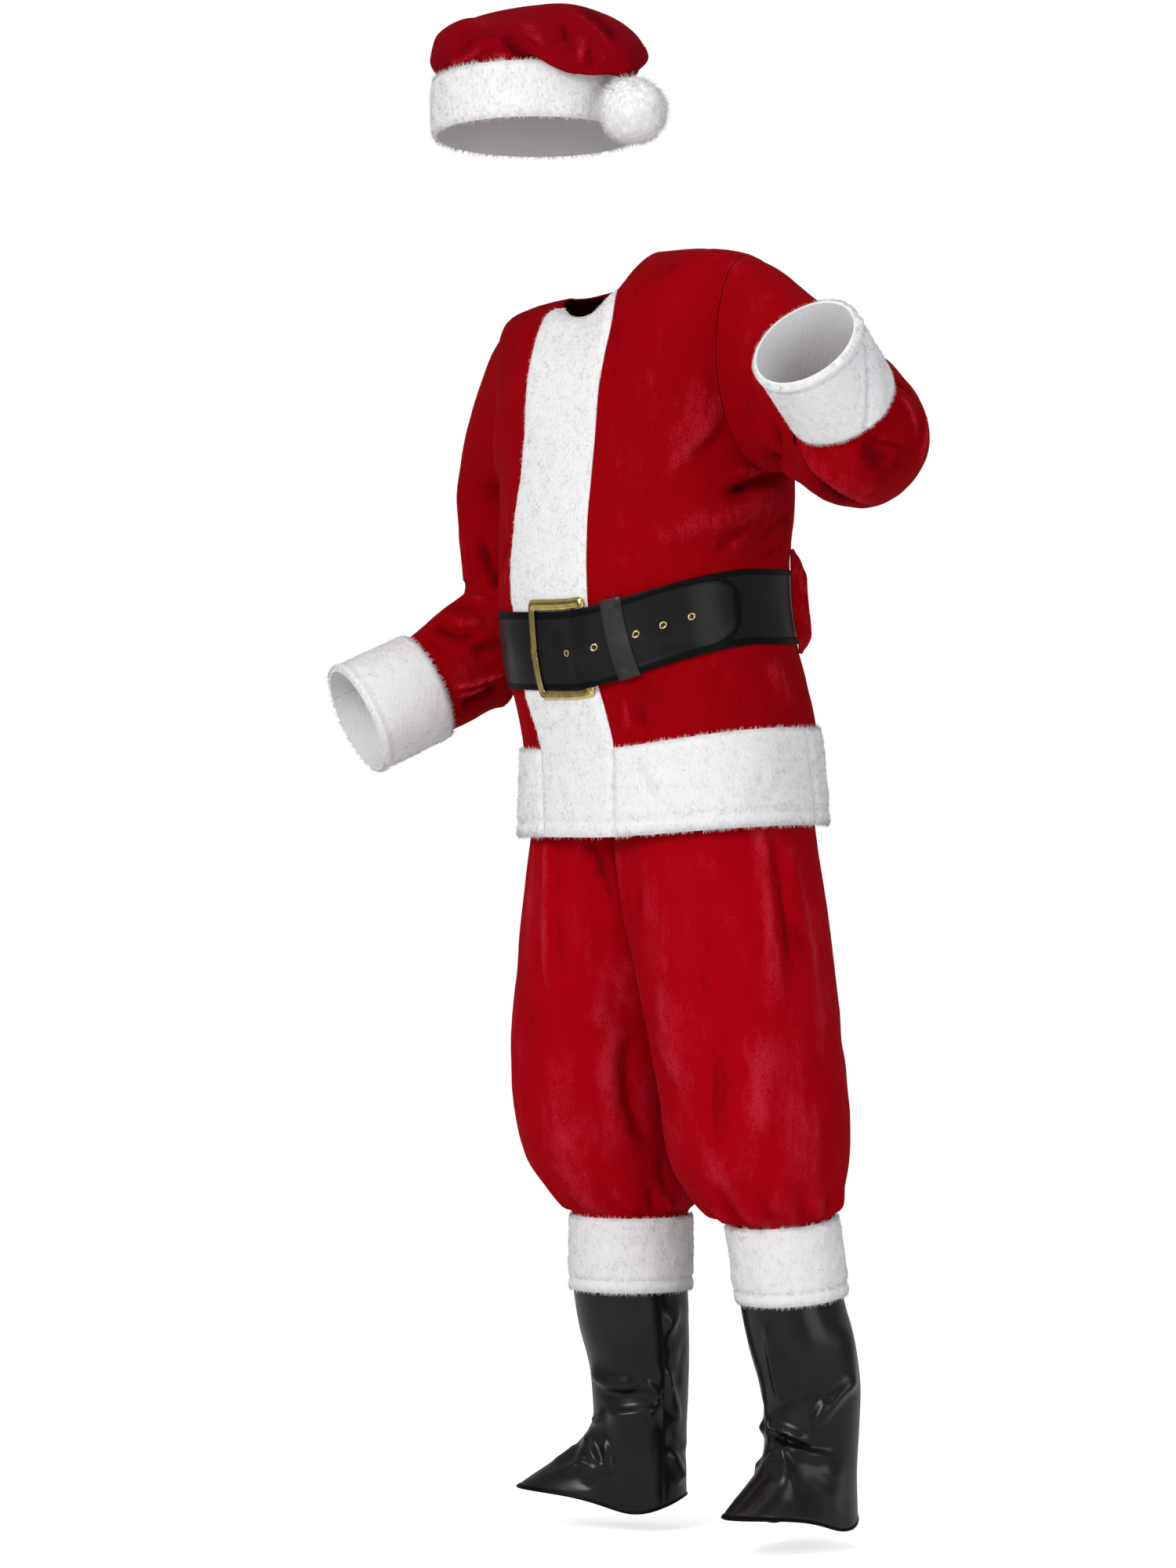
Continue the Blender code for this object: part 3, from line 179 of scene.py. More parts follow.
# Folds of the sleeves, each a curve through three places: an angle round the sleeve, 0 below and 90
# in front, and a section number of the table above.
SLEEVE_FOLDS = {
    # angle section  angle section  angle section height left right
    "left": (
        (8, 1.1, 26, 1.7, 48, 2.5, -7, 7, 11), (2, 1.5, 24, 2.1, 44, 3, 5, 10, 7),
        (52, 5.15, 6, 4.4, -30, 3.8, -12, 15, 5), (42, 5.2, -11, 4.34, -46, 3.86, 7, 4, 16),
        (-55, 6.2, -66, 5.15, -99, 4.06, -4.2, 4, 7), (-62, 6, -73, 5.1, -104, 4.2, 3, 5, 4),
        (-124, 6, -112, 5.1, -95, 4.4, 4.2, 3, 7), (-147, 4.23, -108, 4.27, -80, 3.98, 4.6, 3, 7),
        (-53, 6, -49, 5.09, -54, 4.14, -6, 12, 14), (78, 2.6, 56, 2.3, 52, 3.5, -4, 7, 7),
        (90, 5, 74, 4.3, 84, 3.5, -6, 9, 12), (120, 4.6, 96, 3.9, 88, 3, 5, 11, 9),
        (100, 0.9, 74, 1.6, 60, 2.6, -4, 12, 14), (200, 1.2, 190, 2.1, 204, 3.1, 3.6, 14, 14),
        (232, 0.9, 244, 1.9, 240, 2.9, -4.6, 12, 14), (150, 1.4, 160, 2.4, 148, 3.4, -3.6, 12, 12),
    ),
    "right": (
        (74, 5.75, 58, 5.85, 36, 5.35, -4.5, 8, 12), (76, 5.35, 60, 5.5, 38, 5, 3.2, 9, 8),
        (70, 6.55, 40, 6.5, 12, 5.95, -7, 5, 11), (72, 6.2, 42, 6.2, 18, 5.7, 4.6, 8, 6),
        (60, 7.3, 32, 7.2, 16, 6.6, -3.6, 8, 10), (-14, 7.9, -24, 6.8, -36, 5.8, 6, 4, 3.4),
        (-24, 8, -31, 7.1, -36, 6.4, 4.8, 3.4, 3.4), (-40, 7.9, -44, 6.9, -42, 6.1, -7, 10, 9),
        (8, 6.5, 0, 6, -8, 5.5, -6, 9, 11), (60, 2.6, 46, 3.4, 42, 4.7, -7.5, 10, 15),
        (88, 2.2, 84, 3.2, 90, 4.4, 3.6, 12, 12), (-60, 5.2, -84, 5.7, -110, 5.2, -6, 8, 10),
        (-60, 5.9, -86, 6.3, -112, 5.9, 4.5, 9, 8), (180, 1.8, 170, 2.9, 184, 4.2, -4.4, 12, 12),
        (214, 2, 222, 3.2, 212, 4.6, 4, 12, 12), (150, 5.2, 176, 5.7, 206, 5.3, -4.5, 9, 11),
        (140, 6.4, 170, 6.9, 200, 6.6, 3.6, 10, 10),
    ),
}
# Painted light on the sleeves, added to the nap mark: a curve as in the folds, how much lighter, or darker
# below 0, and its half-widths. The thin lines are painted highlights along the ridges of folds, the dark ones
# painted shade in a trough and over the left forearm, and the right forearm's top is painted lighter.
SLEEVE_SHADING = {
    "left": (
        (38, 5.16, -12, 4.3, -44, 3.86, 0.5, 2.5, 6), (-60, 6, -71, 5.12, -102, 4.16, 0.45, 2.5, 2.5),
        (-28, 4.9, -58, 4.7, -86, 4.4, -0.2, 24, 26), (54, 5.1, 6, 4.36, -28, 3.8, -0.9, 11, 3),
        (-124, 6, -112, 5.1, -95, 4.4, 0.7, 2.2, 2.2), (-147, 4.23, -108, 4.27, -80, 3.98, 0.7, 2.2, 2.2),
    ),
    "right": (
        (-14, 7.9, -24, 6.8, -36, 5.8, 0.8, 2.2, 2.2), (-24, 8, -31, 7.1, -36, 6.4, 0.7, 2.2, 2.2),
        (60, 7, 40, 6.3, 20, 5.8, 0.2, 9, 9),
    ),
}

# The turned-back cuffs: middle of the inner end and of the rim, radius at each, and the way that
# the split faces.
CUFFS = {
    "left": ((412.0, -119.0, 1365.0), (420.0, -200.0, 1431.0), 61.0, 62.0, (0.74, 0.60, 0.30)),
    "right": ((-315.0, -58.0, 1046.0), (-358.0, -140.0, 1004.0), 64.9, 66.0, (-0.70, 0.50, 0.50)),
}
SPLIT_GAP = 1.0
# Where the end that laps over lies on a cuff, in degrees from the split at its inner end and at
# its rim, and how high it stands.
CUFF_LAPS = {"left": (277, 342, 1), "right": (300, 318, 0.35)}
CUFF_ROLL = 13.0

# The belt: angle along the strap and the strap's distance from the body.
STRAP_LIFT = (
    (4, 6), (16, 6), (37, 2.3), (300, 2.3), (327, 6), (346.5, 6), (355, 7.4), (363, 8.7), (366.5, 10.9),
    (369.8, 13.7), (376.2, 13.7), (381, 11.2), (388, 8.4), (397, 6), (406, 5.4), (438.5, 5.4),
)
STRAP_START = 4.0
STRAP_TURN = 360.0
STRAP_DEGREE = 2.85
TIP_START = 424.0
TIP_END = 438.5
BINDING = 7.5
STITCH_STEP = 1.25
BUCKLE_ANGLE = -1.5
BUCKLE_HALF_LENGTH = 45.0
BUCKLE_HALF_HEIGHT = 58.0
BUCKLE_CORNER = 7.0
BUCKLE_INNER = 8.4
FRONT_RADIUS = 158.0
# The buckle's bar in section: distance in from its outer edge, height above its back.
BAR_SECTION = (
    (0, 0), (0, 1.5), (0.5, 2.2), (2.6, 3.5), (3.2, 3.75), (6, 3.8), (6.6, 3.6), (8.2, 2.4), (8.7, 2.2),
    (9.9, 2), (10.5, 1.5), (10.5, 0),
)
# Painted shade and reflection on the buckle's bar: how dark each corner of that section is painted, so that
# the outer rim shows bright and the slope inside it dark.
BAR_SHADES = (0.5, 0.1, 0, 0, 0.85, 0.3, 0.15, 0.75, 0.1, 0.3, 0.85, 0.85)
KEEPER_ANGLES = (26, 34.5)
KEEPER_THICK = 1.6
KEEPER_SLANT = 2.1
EYELET_ANGLES = (5, 20, 37.5, 48, 58.5)
EYELET_RING = 3.5
EYELET_WIRE = 1.0
EYELET_FLOOR = 1.6

# The belt loops: height from the belt's middle, distance from the body, twist in degrees.
LOOP_ROWS = (
    (76, 2.3, 0), (62, 8, 22), (38, 14, 40), (8, 14.4, 42), (-20, 14.4, 42), (-44, 13, 34), (-56, 2.4, 0),
)
LOOP_ANGLE = 119.0
LOOP_HALF_ANGLE = 4.3
LOOP_HALF_WIDTH = 13.5

# The breeches above the fork: level, middle x and y, offset of each half's oval from the middle,
# half-width and depth of that oval.
SEAT_ROWS = (
    (1088, 4, 4, 22, 138, 122), (1025, 15, 14, 34, 134, 125), (960, 22, 20, 46, 128, 128),
    (895, 25, 22, 58, 122, 130), (830, 26, 23, 71, 119, 131), (765, 27, 24, 84, 117, 131),
    (700, 28, 25, 96, 114, 130), (645, 29, 26, 105, 110, 127), (610, 29, 26, 111, 108.5, 124),
)
# The legs below the fork: level, centre x and y, half-width, depth, slope to the back.
LEG_ROWS = {
    "left": (
        (565, 146, 30, 109, 120, 0.02), (515, 151, 32, 110, 115, 0.05), (465, 156, 36, 104, 107, 0.08),
        (432, 163, 42, 91, 94, 0.10), (412, 171, 47, 78, 79, 0.12), (400, 176, 50.5, 62, 62, 0.12),
        (380, 177.5, 52, 61.5, 61.5, 0.12),
    ),
    "right": (
        (565, -86, 23, 105, 117, 0), (515, -91, 22, 102, 108, 0), (465, -88, 25, 96, 98, 0),
        (430, -79, 36, 90, 91, 0), (406, -70, 45, 81, 81, 0), (393, -66.5, 47.8, 69.8, 69.8, 0),
        (372, -66, 48, 69.5, 69.5, 0),
    ),
}
WAISTBAND_LEVEL = 1052.0
WAISTBAND_TOP = 1088.0
LEG_ROUND = 330.0

# Folds of the legs, each a curve through three places: a share of the way round, 0 at the inner
# seam in front, 1 at the side seam and 2 at the inner seam behind, and a level.
LEG_FOLDS = {
    # share level  share level  share level height left right
    "left": (
        (0.06, 960, 0.07, 830, 0.06, 700, 4.5, 6, 14), (0.16, 940, 0.19, 840, 0.24, 740, -3.5, 14, 16),
        (0.91, 1010, 0.91, 830, 0.92, 640, -5, 7, 9), (0.85, 1010, 0.84, 800, 0.83, 600, 4, 16, 12),
        (0.99, 900, 1.00, 760, 1.02, 600, 3.5, 12, 12), (0.52, 980, 0.54, 860, 0.60, 720, -1.4, 26, 30),
        (0.40, 700, 0.44, 620, 0.50, 540, 3.8, 18, 20), (0.60, 640, 0.62, 560, 0.58, 480, -1.8, 26, 26),
        (0.78, 640, 0.76, 560, 0.72, 480, 3.8, 18, 18), (0.20, 600, 0.24, 540, 0.34, 480, -4.5, 12, 16),
        (1.25, 1000, 1.30, 820, 1.26, 640, -5, 14, 16), (1.45, 960, 1.48, 800, 1.44, 640, 4.5, 16, 16),
        (1.64, 880, 1.66, 740, 1.60, 600, -5, 14, 14), (1.30, 620, 1.34, 550, 1.30, 480, 4, 16, 16),
        (1.55, 600, 1.50, 540, 1.54, 480, -4.5, 14, 14), (1.84, 860, 1.80, 700, 1.84, 560, 4, 14, 14),
    ),
    "right": (
        (0.39, 960, 0.37, 800, 0.41, 630, 4.6, 5, 14), (0.33, 960, 0.31, 800, 0.33, 660, -3.6, 12, 10),
        (0.17, 640, 0.16, 545, 0.04, 470, -8, 12, 9), (0.23, 650, 0.23, 545, 0.12, 455, 6, 10, 14),
        (0.04, 470, 0.03, 440, 0.09, 408, -6, 8, 8), (0.12, 900, 0.12, 780, 0.16, 660, -4.5, 16, 16),
        (0.56, 900, 0.60, 760, 0.56, 620, -2, 22, 22), (0.48, 600, 0.44, 540, 0.46, 470, 3.8, 16, 16),
        (0.70, 700, 0.72, 600, 0.68, 500, 4.2, 16, 16), (0.86, 1000, 0.88, 800, 0.90, 600, -4.6, 12, 14),
        (1.10, 980, 1.14, 800, 1.10, 620, 4.5, 16, 16), (1.32, 960, 1.28, 780, 1.32, 600, -5, 14, 16),
        (1.54, 900, 1.56, 740, 1.50, 580, 4.4, 16, 16), (1.74, 860, 1.70, 700, 1.76, 540, -5, 14, 14),
        (1.92, 560, 1.94, 500, 1.88, 450, 4, 12, 12),
    ),
}
# The gathers above each leg's cuff: share of the way round, how far it leans, how high it
# reaches, depth, half-width.
LEG_GATHERS = {
    "left": (
        (0.03, 0.03, 60, -7, 9), (0.10, -0.02, 42, 5, 8), (0.17, 0.04, 74, -8, 9),
        (0.25, 0.02, 50, 6, 10), (0.33, -0.03, 64, -7, 8), (0.43, 0.10, 58, 7, 8),
        (0.52, 0.06, 66, -9, 9), (0.61, -0.02, 44, 7, 8), (0.69, 0.03, 60, -8, 9),
        (0.79, -0.02, 70, 7, 8), (0.86, 0.02, 52, -8, 8), (0.94, -0.01, 66, 6, 8),
        (1.02, 0.02, 56, -8, 9), (1.12, 0.03, 44, 6, 9), (1.22, -0.04, 70, -8, 9),
        (1.33, 0.02, 52, 6, 10), (1.43, 0.04, 64, -7, 8), (1.55, -0.03, 48, 6, 9),
        (1.66, 0.03, 72, -8, 9), (1.77, 0.02, 46, 6, 9), (1.88, -0.02, 60, -7, 8), (1.96, 0.02, 50, 5, 8),
    ),
    "right": (
        (0.05, 0.02, 50, 6, 9), (0.14, -0.03, 58, -7, 8), (0.24, 0.03, 40, 4.5, 10),
        (0.33, 0.02, 52, -5, 9), (0.44, -0.02, 36, 4, 10), (0.54, 0.03, 48, -5, 9),
        (0.65, -0.03, 58, 5.5, 9), (0.75, 0.03, 66, -8, 9), (0.85, 0.02, 46, 6, 8),
        (0.95, -0.03, 60, -7, 9), (1.06, 0.02, 50, 6, 9), (1.17, 0.04, 66, -8, 9),
        (1.28, -0.02, 46, 6, 9), (1.39, 0.03, 58, -7, 9), (1.50, 0.02, 50, 6, 9),
        (1.61, -0.03, 68, -8, 9), (1.72, 0.02, 46, 6, 9), (1.83, 0.03, 60, -7, 9),
        (1.94, -0.02, 50, 5, 8),
    ),
}
# Places on the legs where the nap looks lighter, or darker below 0: a curve as in the folds, how much
# lighter, and its half-widths. Most are patches of brushed nap. Some are painted highlights along the ridges
# of folds, and painted shade lies in the band just under the jacket's hem and by the fork.
LEG_NAP_AND_SHADING = {
    "left": (
        (0.84, 960, 0.83, 800, 0.85, 650, 0.95, 8, 12), (0.81, 640, 0.78, 570, 0.70, 505, 1, 12, 18),
        (0.66, 712, 0.72, 674, 0.69, 636, -0.3, 18, 18), (1, 850, 0.98, 774, 0.97, 700, -0.42, 12, 10),
        (0.14, 856, 0.40, 850, 0.74, 856, -0.3, 14, 12), (0.38, 700, 0.42, 620, 0.52, 540, 0.75, 14, 14),
        (0.10, 800, 0.16, 700, 0.26, 600, 0.6, 7, 10), (0.50, 520, 0.56, 470, 0.60, 430, 0.55, 10, 10),
        (0.95, 560, 0.94, 490, 0.93, 440, 0.6, 8, 8), (1.02, 860, 1.04, 700, 1.00, 560, 0.7, 7, 7),
        (0.56, 940, 0.60, 860, 0.56, 780, 0.25, 16, 16), (1.34, 860, 1.38, 700, 1.34, 560, 0.6, 14, 14),
        (1.60, 780, 1.56, 640, 1.62, 520, 0.5, 12, 12),
    ),
    "right": (
        (0.15, 862, 0.07, 825, 0.05, 755, -0.6, 14, 12), (0.39, 900, 0.38, 780, 0.41, 640, 0.7, 3, 7),
        (0.20, 680, 0.24, 600, 0.24, 520, 0.75, 12, 14), (0.50, 880, 0.52, 760, 0.50, 640, 0.45, 8, 8),
        (0.40, 520, 0.44, 470, 0.46, 430, 0.4, 12, 12), (0.10, 560, 0.12, 520, 0.08, 480, 0.35, 8, 8),
        (0.62, 640, 0.64, 560, 0.62, 480, 0.4, 8, 8), (1.12, 860, 1.16, 700, 1.12, 560, 0.6, 14, 14),
        (1.52, 780, 1.56, 640, 1.50, 520, 0.5, 12, 12),
    ),
}

# The fur cuffs of the breeches: middle of the top and of the lower edge, radius inside, slope.
LEG_CUFFS = {
    "left": ((176.0, 50.5, 397.0), (186.0, 59.0, 303.0), 64.6, 0.12),
    "right": ((-66.0, 48.0, 390.0), (-66.0, 48.0, 298.0), 72.5, 0.0),
}
LEG_CUFF_FUR = 5.0
CUFF_STITCH = 15.0

# The boot covers: level at the side, shift towards the cuff's middle, reach to the toe, reach to
# the heel, half-width, how much higher the ring runs at the toe and at the heel.
BOOT_ROWS = (
    # level shift   toe   heel  width  up_toe up_heel
    (326, 1.13, 68.8, 68.8, 68.8, 0, 0), (296, 1, 69.5, 69.5, 69.5, 0, 0), (248, 0.5, 68, 65, 68, 0, 0),
    (198, 0.1, 60, 60, 61, 2, 2), (155, 0, 58, 58, 56, 8, 4), (115, 0, 60, 57, 53, 16, 8),
    (84, 0, 76, 56, 52, 21, 12), (60, 0, 103, 56, 52, 24, 15), (40, 0, 131, 56, 53, 25, 17),
    (24, 0, 155, 57, 54, 24, 18),
)
BOOTS = {
    "left": ((203.0, 75.0), (0.0, -1.0), (-17.0, -16.0), 0.107),
    "right": ((-57.0, 56.0), (-0.83, -0.56), (-9.0, -8.0), 0.0),
}
BOOT_SEAM = 127.0
BOOT_RADIUS = 61.0
BOOT_STEP = 21.0
# Folds of the boot covers, each a curve through three places: an angle from the toe and a level.
BOOT_FOLDS = {
    # angle level   angle level    angle level  height left right
    "left": (
        (12, 300, 2, 226, -1, 166, 4.1, 4.6, 6.9), (101, 290, 92, 230, 88, 184, 5.1, 17.3, 17.3),
        (104, 212, 68, 184, 34, 132, 7.2, 8.1, 6.9), (60, 188, 47, 168, 38, 142, 4.1, 4.6, 4.6),
        (62, 202, 22, 186, -30, 152, -2.8, 10.8, 9.6), (-28, 146, 8, 133, 42, 119, 7.2, 9.2, 4.6),
        (-30, 138, 22, 119, 86, 133, -3.2, 6, 6), (-30, 134, 16, 111, 72, 119, 4.3, 4.6, 11.5),
        (4, 114, 14, 88, 27, 42, 5.8, 4.6, 6.9), (-8, 76, -6, 94, 6, 106, 2.9, 4.6, 4.6),
        (-8, 70, 6, 84, 22, 56, 2.6, 4.6, 4.6), (60, 110, 66, 77, 46, 44, 3.8, 18.4, 18.4),
        (-110, 180, -70, 164, -34, 176, -2.5, 10.8, 9.6), (-112, 150, -74, 140, -36, 146, 6.5, 9.2, 10.3),
        (-34, 100, -44, 76, -60, 50, 5.2, 9.2, 9.2), (150, 270, 172, 190, 152, 110, 5.8, 10.3, 10.3),
        (200, 250, 186, 170, 204, 90, -2, 10.8, 10.8),
    ),
    "right": (
        (18, 202, 60, 182, 106, 189, 6.4, 14.9, 5.7), (98, 191, 114, 177, 127, 158, 4.1, 4.6, 5.7),
        (30, 166, 81, 170, 120, 173, -3, 9.6, 8.4), (44, 143, 90, 151, 132, 156, 8.7, 5.2, 19.5),
        (52, 146, 34, 131, 12, 117, 4.9, 5.7, 6.9), (12, 106, 32, 86, 52, 64, 6.4, 6.9, 9.2),
        (43, 114, 55, 82, 50, 62, 4.6, 5.7, 5.7), (25, 68.5, 37, 65, 52, 62, 4.1, 4, 5.7),
        (18, 90, 27, 68, 20, 48, 4.1, 4.6, 5.7), (28, 64, 22, 52, 12, 46, 2.9, 5.7, 5.7),
        (5, 50, 9, 68, 8, 86, 3.2, 4.6, 6.9), (29, 62, 33, 47, 39, 36, -1.5, 6, 6),
        (36, 100, 43, 84, 48, 72, -1.5, 6, 6), (124, 126, 112, 84, 100, 52, -1, 21.6, 21.6),
        (160, 298, 143, 268, 130, 244, 6.5, 6.9, 9.2), (130, 210, 136, 172, 160, 120, 6.5, 6.9, 9.2),
        (137, 102, 153, 68, 164, 46, 6.5, 6.9, 9.2), (166, 240, 152, 206, 150, 168, -2, 8.4, 9.6),
        (136, 128, 150, 104, 172, 92, -1.8, 8.4, 9.6), (-116, 176, -70, 164, -24, 172, -2.5, 10.8, 9.6),
        (-118, 148, -74, 140, -26, 146, 6.5, 9.2, 10.3), (-30, 100, -40, 78, -54, 50, 4.9, 8.1, 8.1),
    ),
}

# The hat.
HAT_MIDDLE = (-100, -90, 1788)
HAT_SLOPE = (0.058, -0.065)
FLOP_WAY = (0.996, -0.086)
CROWN_ROWS = (
    # fold along, fold up, outline along, outline up, half-width, droop of the front end
    (119.5, -16, -119.5, -16, 119.5, 0), (120.3, 1, -120.5, 3, 120.3, 0), (129, 8, -129, 24, 129, 0),
    (134, 9, -112, 60, 125, 1), (138, 6, -62, 82, 116, 8), (142, 0, 8, 87, 101, 26),
    (146, -7, 74, 78, 80, 42), (150, -15, 126, 53, 54, 36), (154, -22, 159, 18, 28, 12),
    (158, -23.5, 170, -14, 10, 1),
)
BRIM_INNER = 121.0
BRIM_HEIGHT = 68.0
BRIM_TOP = -3.0
POMPOM_RADIUS = 43.0
POMPOM_ALONG = 173.5
POMPOM_UP = -64.8

CROWN_FOLDS = (
    # angle row   angle row    angle row  height width
    (286, 1.35, 264, 1.25, 251, 2.5, 4.6, 5), (258, 1.3, 245, 1.1, 231, 1.25, 4, 5),
    (270, 1.9, 264, 2.2, 262, 2.9, -6, 6), (222, 1.2, 231, 2.1, 246, 3.2, -13, 7),
    (214, 1.4, 224, 2.9, 236, 4.1, 5, 8), (322, 6.2, 303, 6.5, 266, 6.4, -8, 7),
    (318, 6.8, 302, 7.05, 276, 7, 4, 8), (310, 7.15, 288, 7.35, 262, 7.4, -6, 5),
    (308, 7.5, 288, 7.75, 266, 7.9, 3, 5), (314, 5.4, 296, 5.7, 272, 5.8, 3.6, 12),
    (300, 2.2, 306, 3.4, 300, 4.6, 3.8, 16), (276, 2.6, 272, 3.6, 262, 4.6, -4.2, 14),
    (330, 3, 320, 4.2, 326, 5.4, -3, 14), (339, 5.9, 332, 7.05, 312, 8.3, 1.8, 2.6),
    (60, 1.2, 74, 2.6, 70, 4.4, -5, 12), (96, 1.3, 104, 2.6, 112, 4, 4.5, 12),
    (136, 1.2, 130, 2.4, 134, 3.8, -6, 10), (150, 4.8, 110, 5.8, 66, 6.3, -5.5, 10),
    (158, 5.8, 116, 6.8, 72, 7.2, 4, 9), (34, 2.2, 30, 3.6, 38, 5, 3.4, 15),
)
# Places on the crown where the nap looks lighter, or darker below 0: a curve as in the folds, how much
# lighter, and a half-width. Several are painted highlights along the ridges of the folds above.
CROWN_NAP_AND_SHADING = (
    (310, 3.6, 300, 5, 306, 6.2, 0.16, 24), (286, 1.35, 264, 1.25, 251, 2.5, 0.3, 4.5),
    (258, 1.3, 245, 1.1, 231, 1.25, 0.3, 4.5), (252, 1.8, 244, 1.9, 236, 1.6, 0.15, 10),
    (316, 6.9, 300, 7.05, 276, 7, 0.12, 8), (339, 5.9, 332, 7.05, 312, 8.3, 0.4, 2.2),
    (352, 6, 345, 7.1, 334, 8.2, -0.5, 11), (345, 5.2, 338, 5, 326, 4.4, 0.1, 10),
    (60, 3, 56, 4.4, 64, 6, 0.4, 20),
)

# Sides, gaps, lengths and counts. The gaps are as in the frame.
SIDES = (("left", 1.0), ("right", -1.0))
FAR = 99.0
LEAST_FUR = 0.8
TRIM_COVER = 0.2
TRIM_FIBRE = 5.0
DOWN = (0.0, 0.0, -1.0)
FOLD_DEPTH = {"jacket": 1.7, "sleeve": 1.25, "leg": 1.05, "crown": 0.9, "boot": 1.1}
READ_STEPS = 561
SLEEVE_FRAMES = 40
SLEEVE_START = 0.6
SLEEVE_GAP = 0.3
ARMHOLE_HALF = 64.0
KEEPER_PAST = 2.4
KEEPER_LIP = (0.4, 0.9)
KEEPER_GAP = 0.6
LEG_APART = 4.0
# Levels of a leg: its folds are calm above the first and run to the inner seam below the second,
# and its rows stand closer below the third.
LEG_CALM = 836
LEG_INSEAM = 620
KNEE = 500.0
WAISTBAND_EXTRA = 1.5
WAISTBAND_GAP = 0.9
WAISTBAND_GATHERS = 68
BOOT_BINDING = 6.0
# The level above which the leg's cuff covers a boot cover, and the seeds of its crushed back.
BOOT_COVERED = 286
BOOT_CRUSH = (117, 118)

# Soft noise added to a height: gain, stretch along the height, size and seed of each layer.
NOISE = {
    "jacket": ((1.1, 0.6, 52, 11), (0.35, 1, 17, 12)),
    "sleeve": ((1.3, 1, 44, 31), (0.4, 1, 15, 32)),
    "sleeve_cuff": ((0.9, 1, 42, 73),),
    "loop": ((0.5, 1, 9, 17),),
    "loop_nap": ((0.5, 1, 8, 18),),
    "strap": ((0.2, 1, 24, 91), (0.75, 0.7, 55, 92)),
    "keeper": ((0.55, 1, 13, 95), (0.2, 1, 5, 96)),
    "buckle": ((0.25, 1, 5, 99),),
    "leg": ((1.8, 0.45, 70, 41), (0.7, 0.6, 26, 42), (0.25, 1, 11, 43)),
    "leg_cuff": ((0.9, 1, 38, 51),),
    "boot": ((0.8, 1, 46, 111),),
    "crown": ((1.2, 1, 44, 121), (0.2, 1, 15, 122)),
    "brim": ((0.9, 1, 36, 131),),
    "pompom": ((1.8, 1, 16, 151), (1.2, 1, 7, 152)),
}
# The first seeds of the fur trims: of the tufts and of the fibres.
FUR_SEEDS = {
    "front_band": (21, 61), "hem": (23, 63), "sleeve_cuff": (71, 81), "leg_cuff": (52, 101),
    "brim": (132, 141), "pompom": (151, 161)}
# Rows of points, and points in a row, or 0 where the piece counts them by its own spans.
GRIDS = {
    "front_band": (128, 25), "hem": (27, 0), "sleeve_cuff": (26, 150), "loop": (40, 13), "strap": (0, 330),
    "keeper": (40, 15), "waistband": (8, 91), "leg_cuff": (25, 110), "brim": (20, 150), "pompom": (44, 80)}

# What each finish adds to the name of a piece, and its slot.
LOOKS = {
    "jacket_plush": ("plush", "red_plush"),
    "breeches_plush": ("plush", "red_plush"),
    "hat_plush": ("plush", "red_plush"),
    "fur": ("fur", "white_fur"),
    "strap": ("bound", "black_belt"),
    "keeper": ("soft", "black_belt"),
    "vinyl": ("vinyl", "black_vinyl"),
}

# The camera and the lights, in metres from the neck.
CAMERA_PLACE = (4.3205, -4.8553, -0.566)
CAMERA_WAY = (-0.669, 0.743, -0.004)
CAMERA_LENS = 121.68
WORLD_LIGHT = 0.34
FLOOR_GLOW = 0.7
LIGHTS = (
    # name, place, target, size, power, colour
    ("key", (0.6, -3.9, 1.3), (0, 0, -0.5), 1.8, 104, (1, 0.98, 0.96)),
    ("fill", (4.2, -0.9, 0.2), (0, 0, -0.6), 2.4, 44, (0.94, 0.97, 1)),
    ("top", (0.4, -0.4, 2.9), (0, 0, -0.6), 2.6, 22, (1, 1, 1)),
)


# ---------------------------------------------------------------- sizes and colours to change

def number(label, text, default, low, high, unit="NONE"):
    """A number property with its limits."""
    return bpy.props.FloatProperty(
        name=label, description=text, default=default, min=low, max=high, unit=unit)


def colour(label, text, default):
    """A colour property."""
    return bpy.props.FloatVectorProperty(
        name=label, description=text, default=default, min=0.0, max=1.0, size=3, subtype="COLOR")


class SantaPlush(bpy.types.PropertyGroup):
    """The red plush of the jacket, the breeches and the hat."""

    folds: number("Fold depth", "How deep the folds are", 1.0, 0.0, 1.5)
    jacket_steps: bpy.props.IntProperty(
        name="Jacket rows", description="Rows of points up the jacket", default=116, min=40, max=200)
    sleeve_steps: bpy.props.IntProperty(
        name="Sleeve columns", description="Columns of points round a sleeve", default=116, min=40, max=160)
    leg_steps: bpy.props.IntProperty(
        name="Leg rows", description="Rows of points down a leg", default=118, min=40, max=200)
    crown_steps: bpy.props.IntProperty(
        name="Crown columns", description="Columns of points round the hat", default=132, min=60, max=260)
    # The three reds are copies of one plush, darker on the jacket and darker still on the hat than on the
    # breeches: partly painted shade, for how the light falls on each part.
    jacket: colour("Jacket red", "The jacket's colour", (0.275, 0.0, 0.0025))
    breeches: colour("Breeches red", "The breeches' colour", (0.35, 0.0, 0.004))
    hat: colour("Hat red", "The hat's colour", (0.215, 0.0, 0.004))
    # The deep red is also the painted shade in the troughs of folds, and the brushed red also the painted
    # highlight on their ridges, as the nap mark carries both.
    deep: colour("Deep red", "The colour where the nap lies dark", (0.055, 0.0, 0.001))
    brushed: colour("Brushed red", "The colour where the nap is brushed light", (0.45, 0.013, 0.026))
    sheen: number("Sheen", "How much the pile glows at its edges", 0.055, 0.0, 1.0)


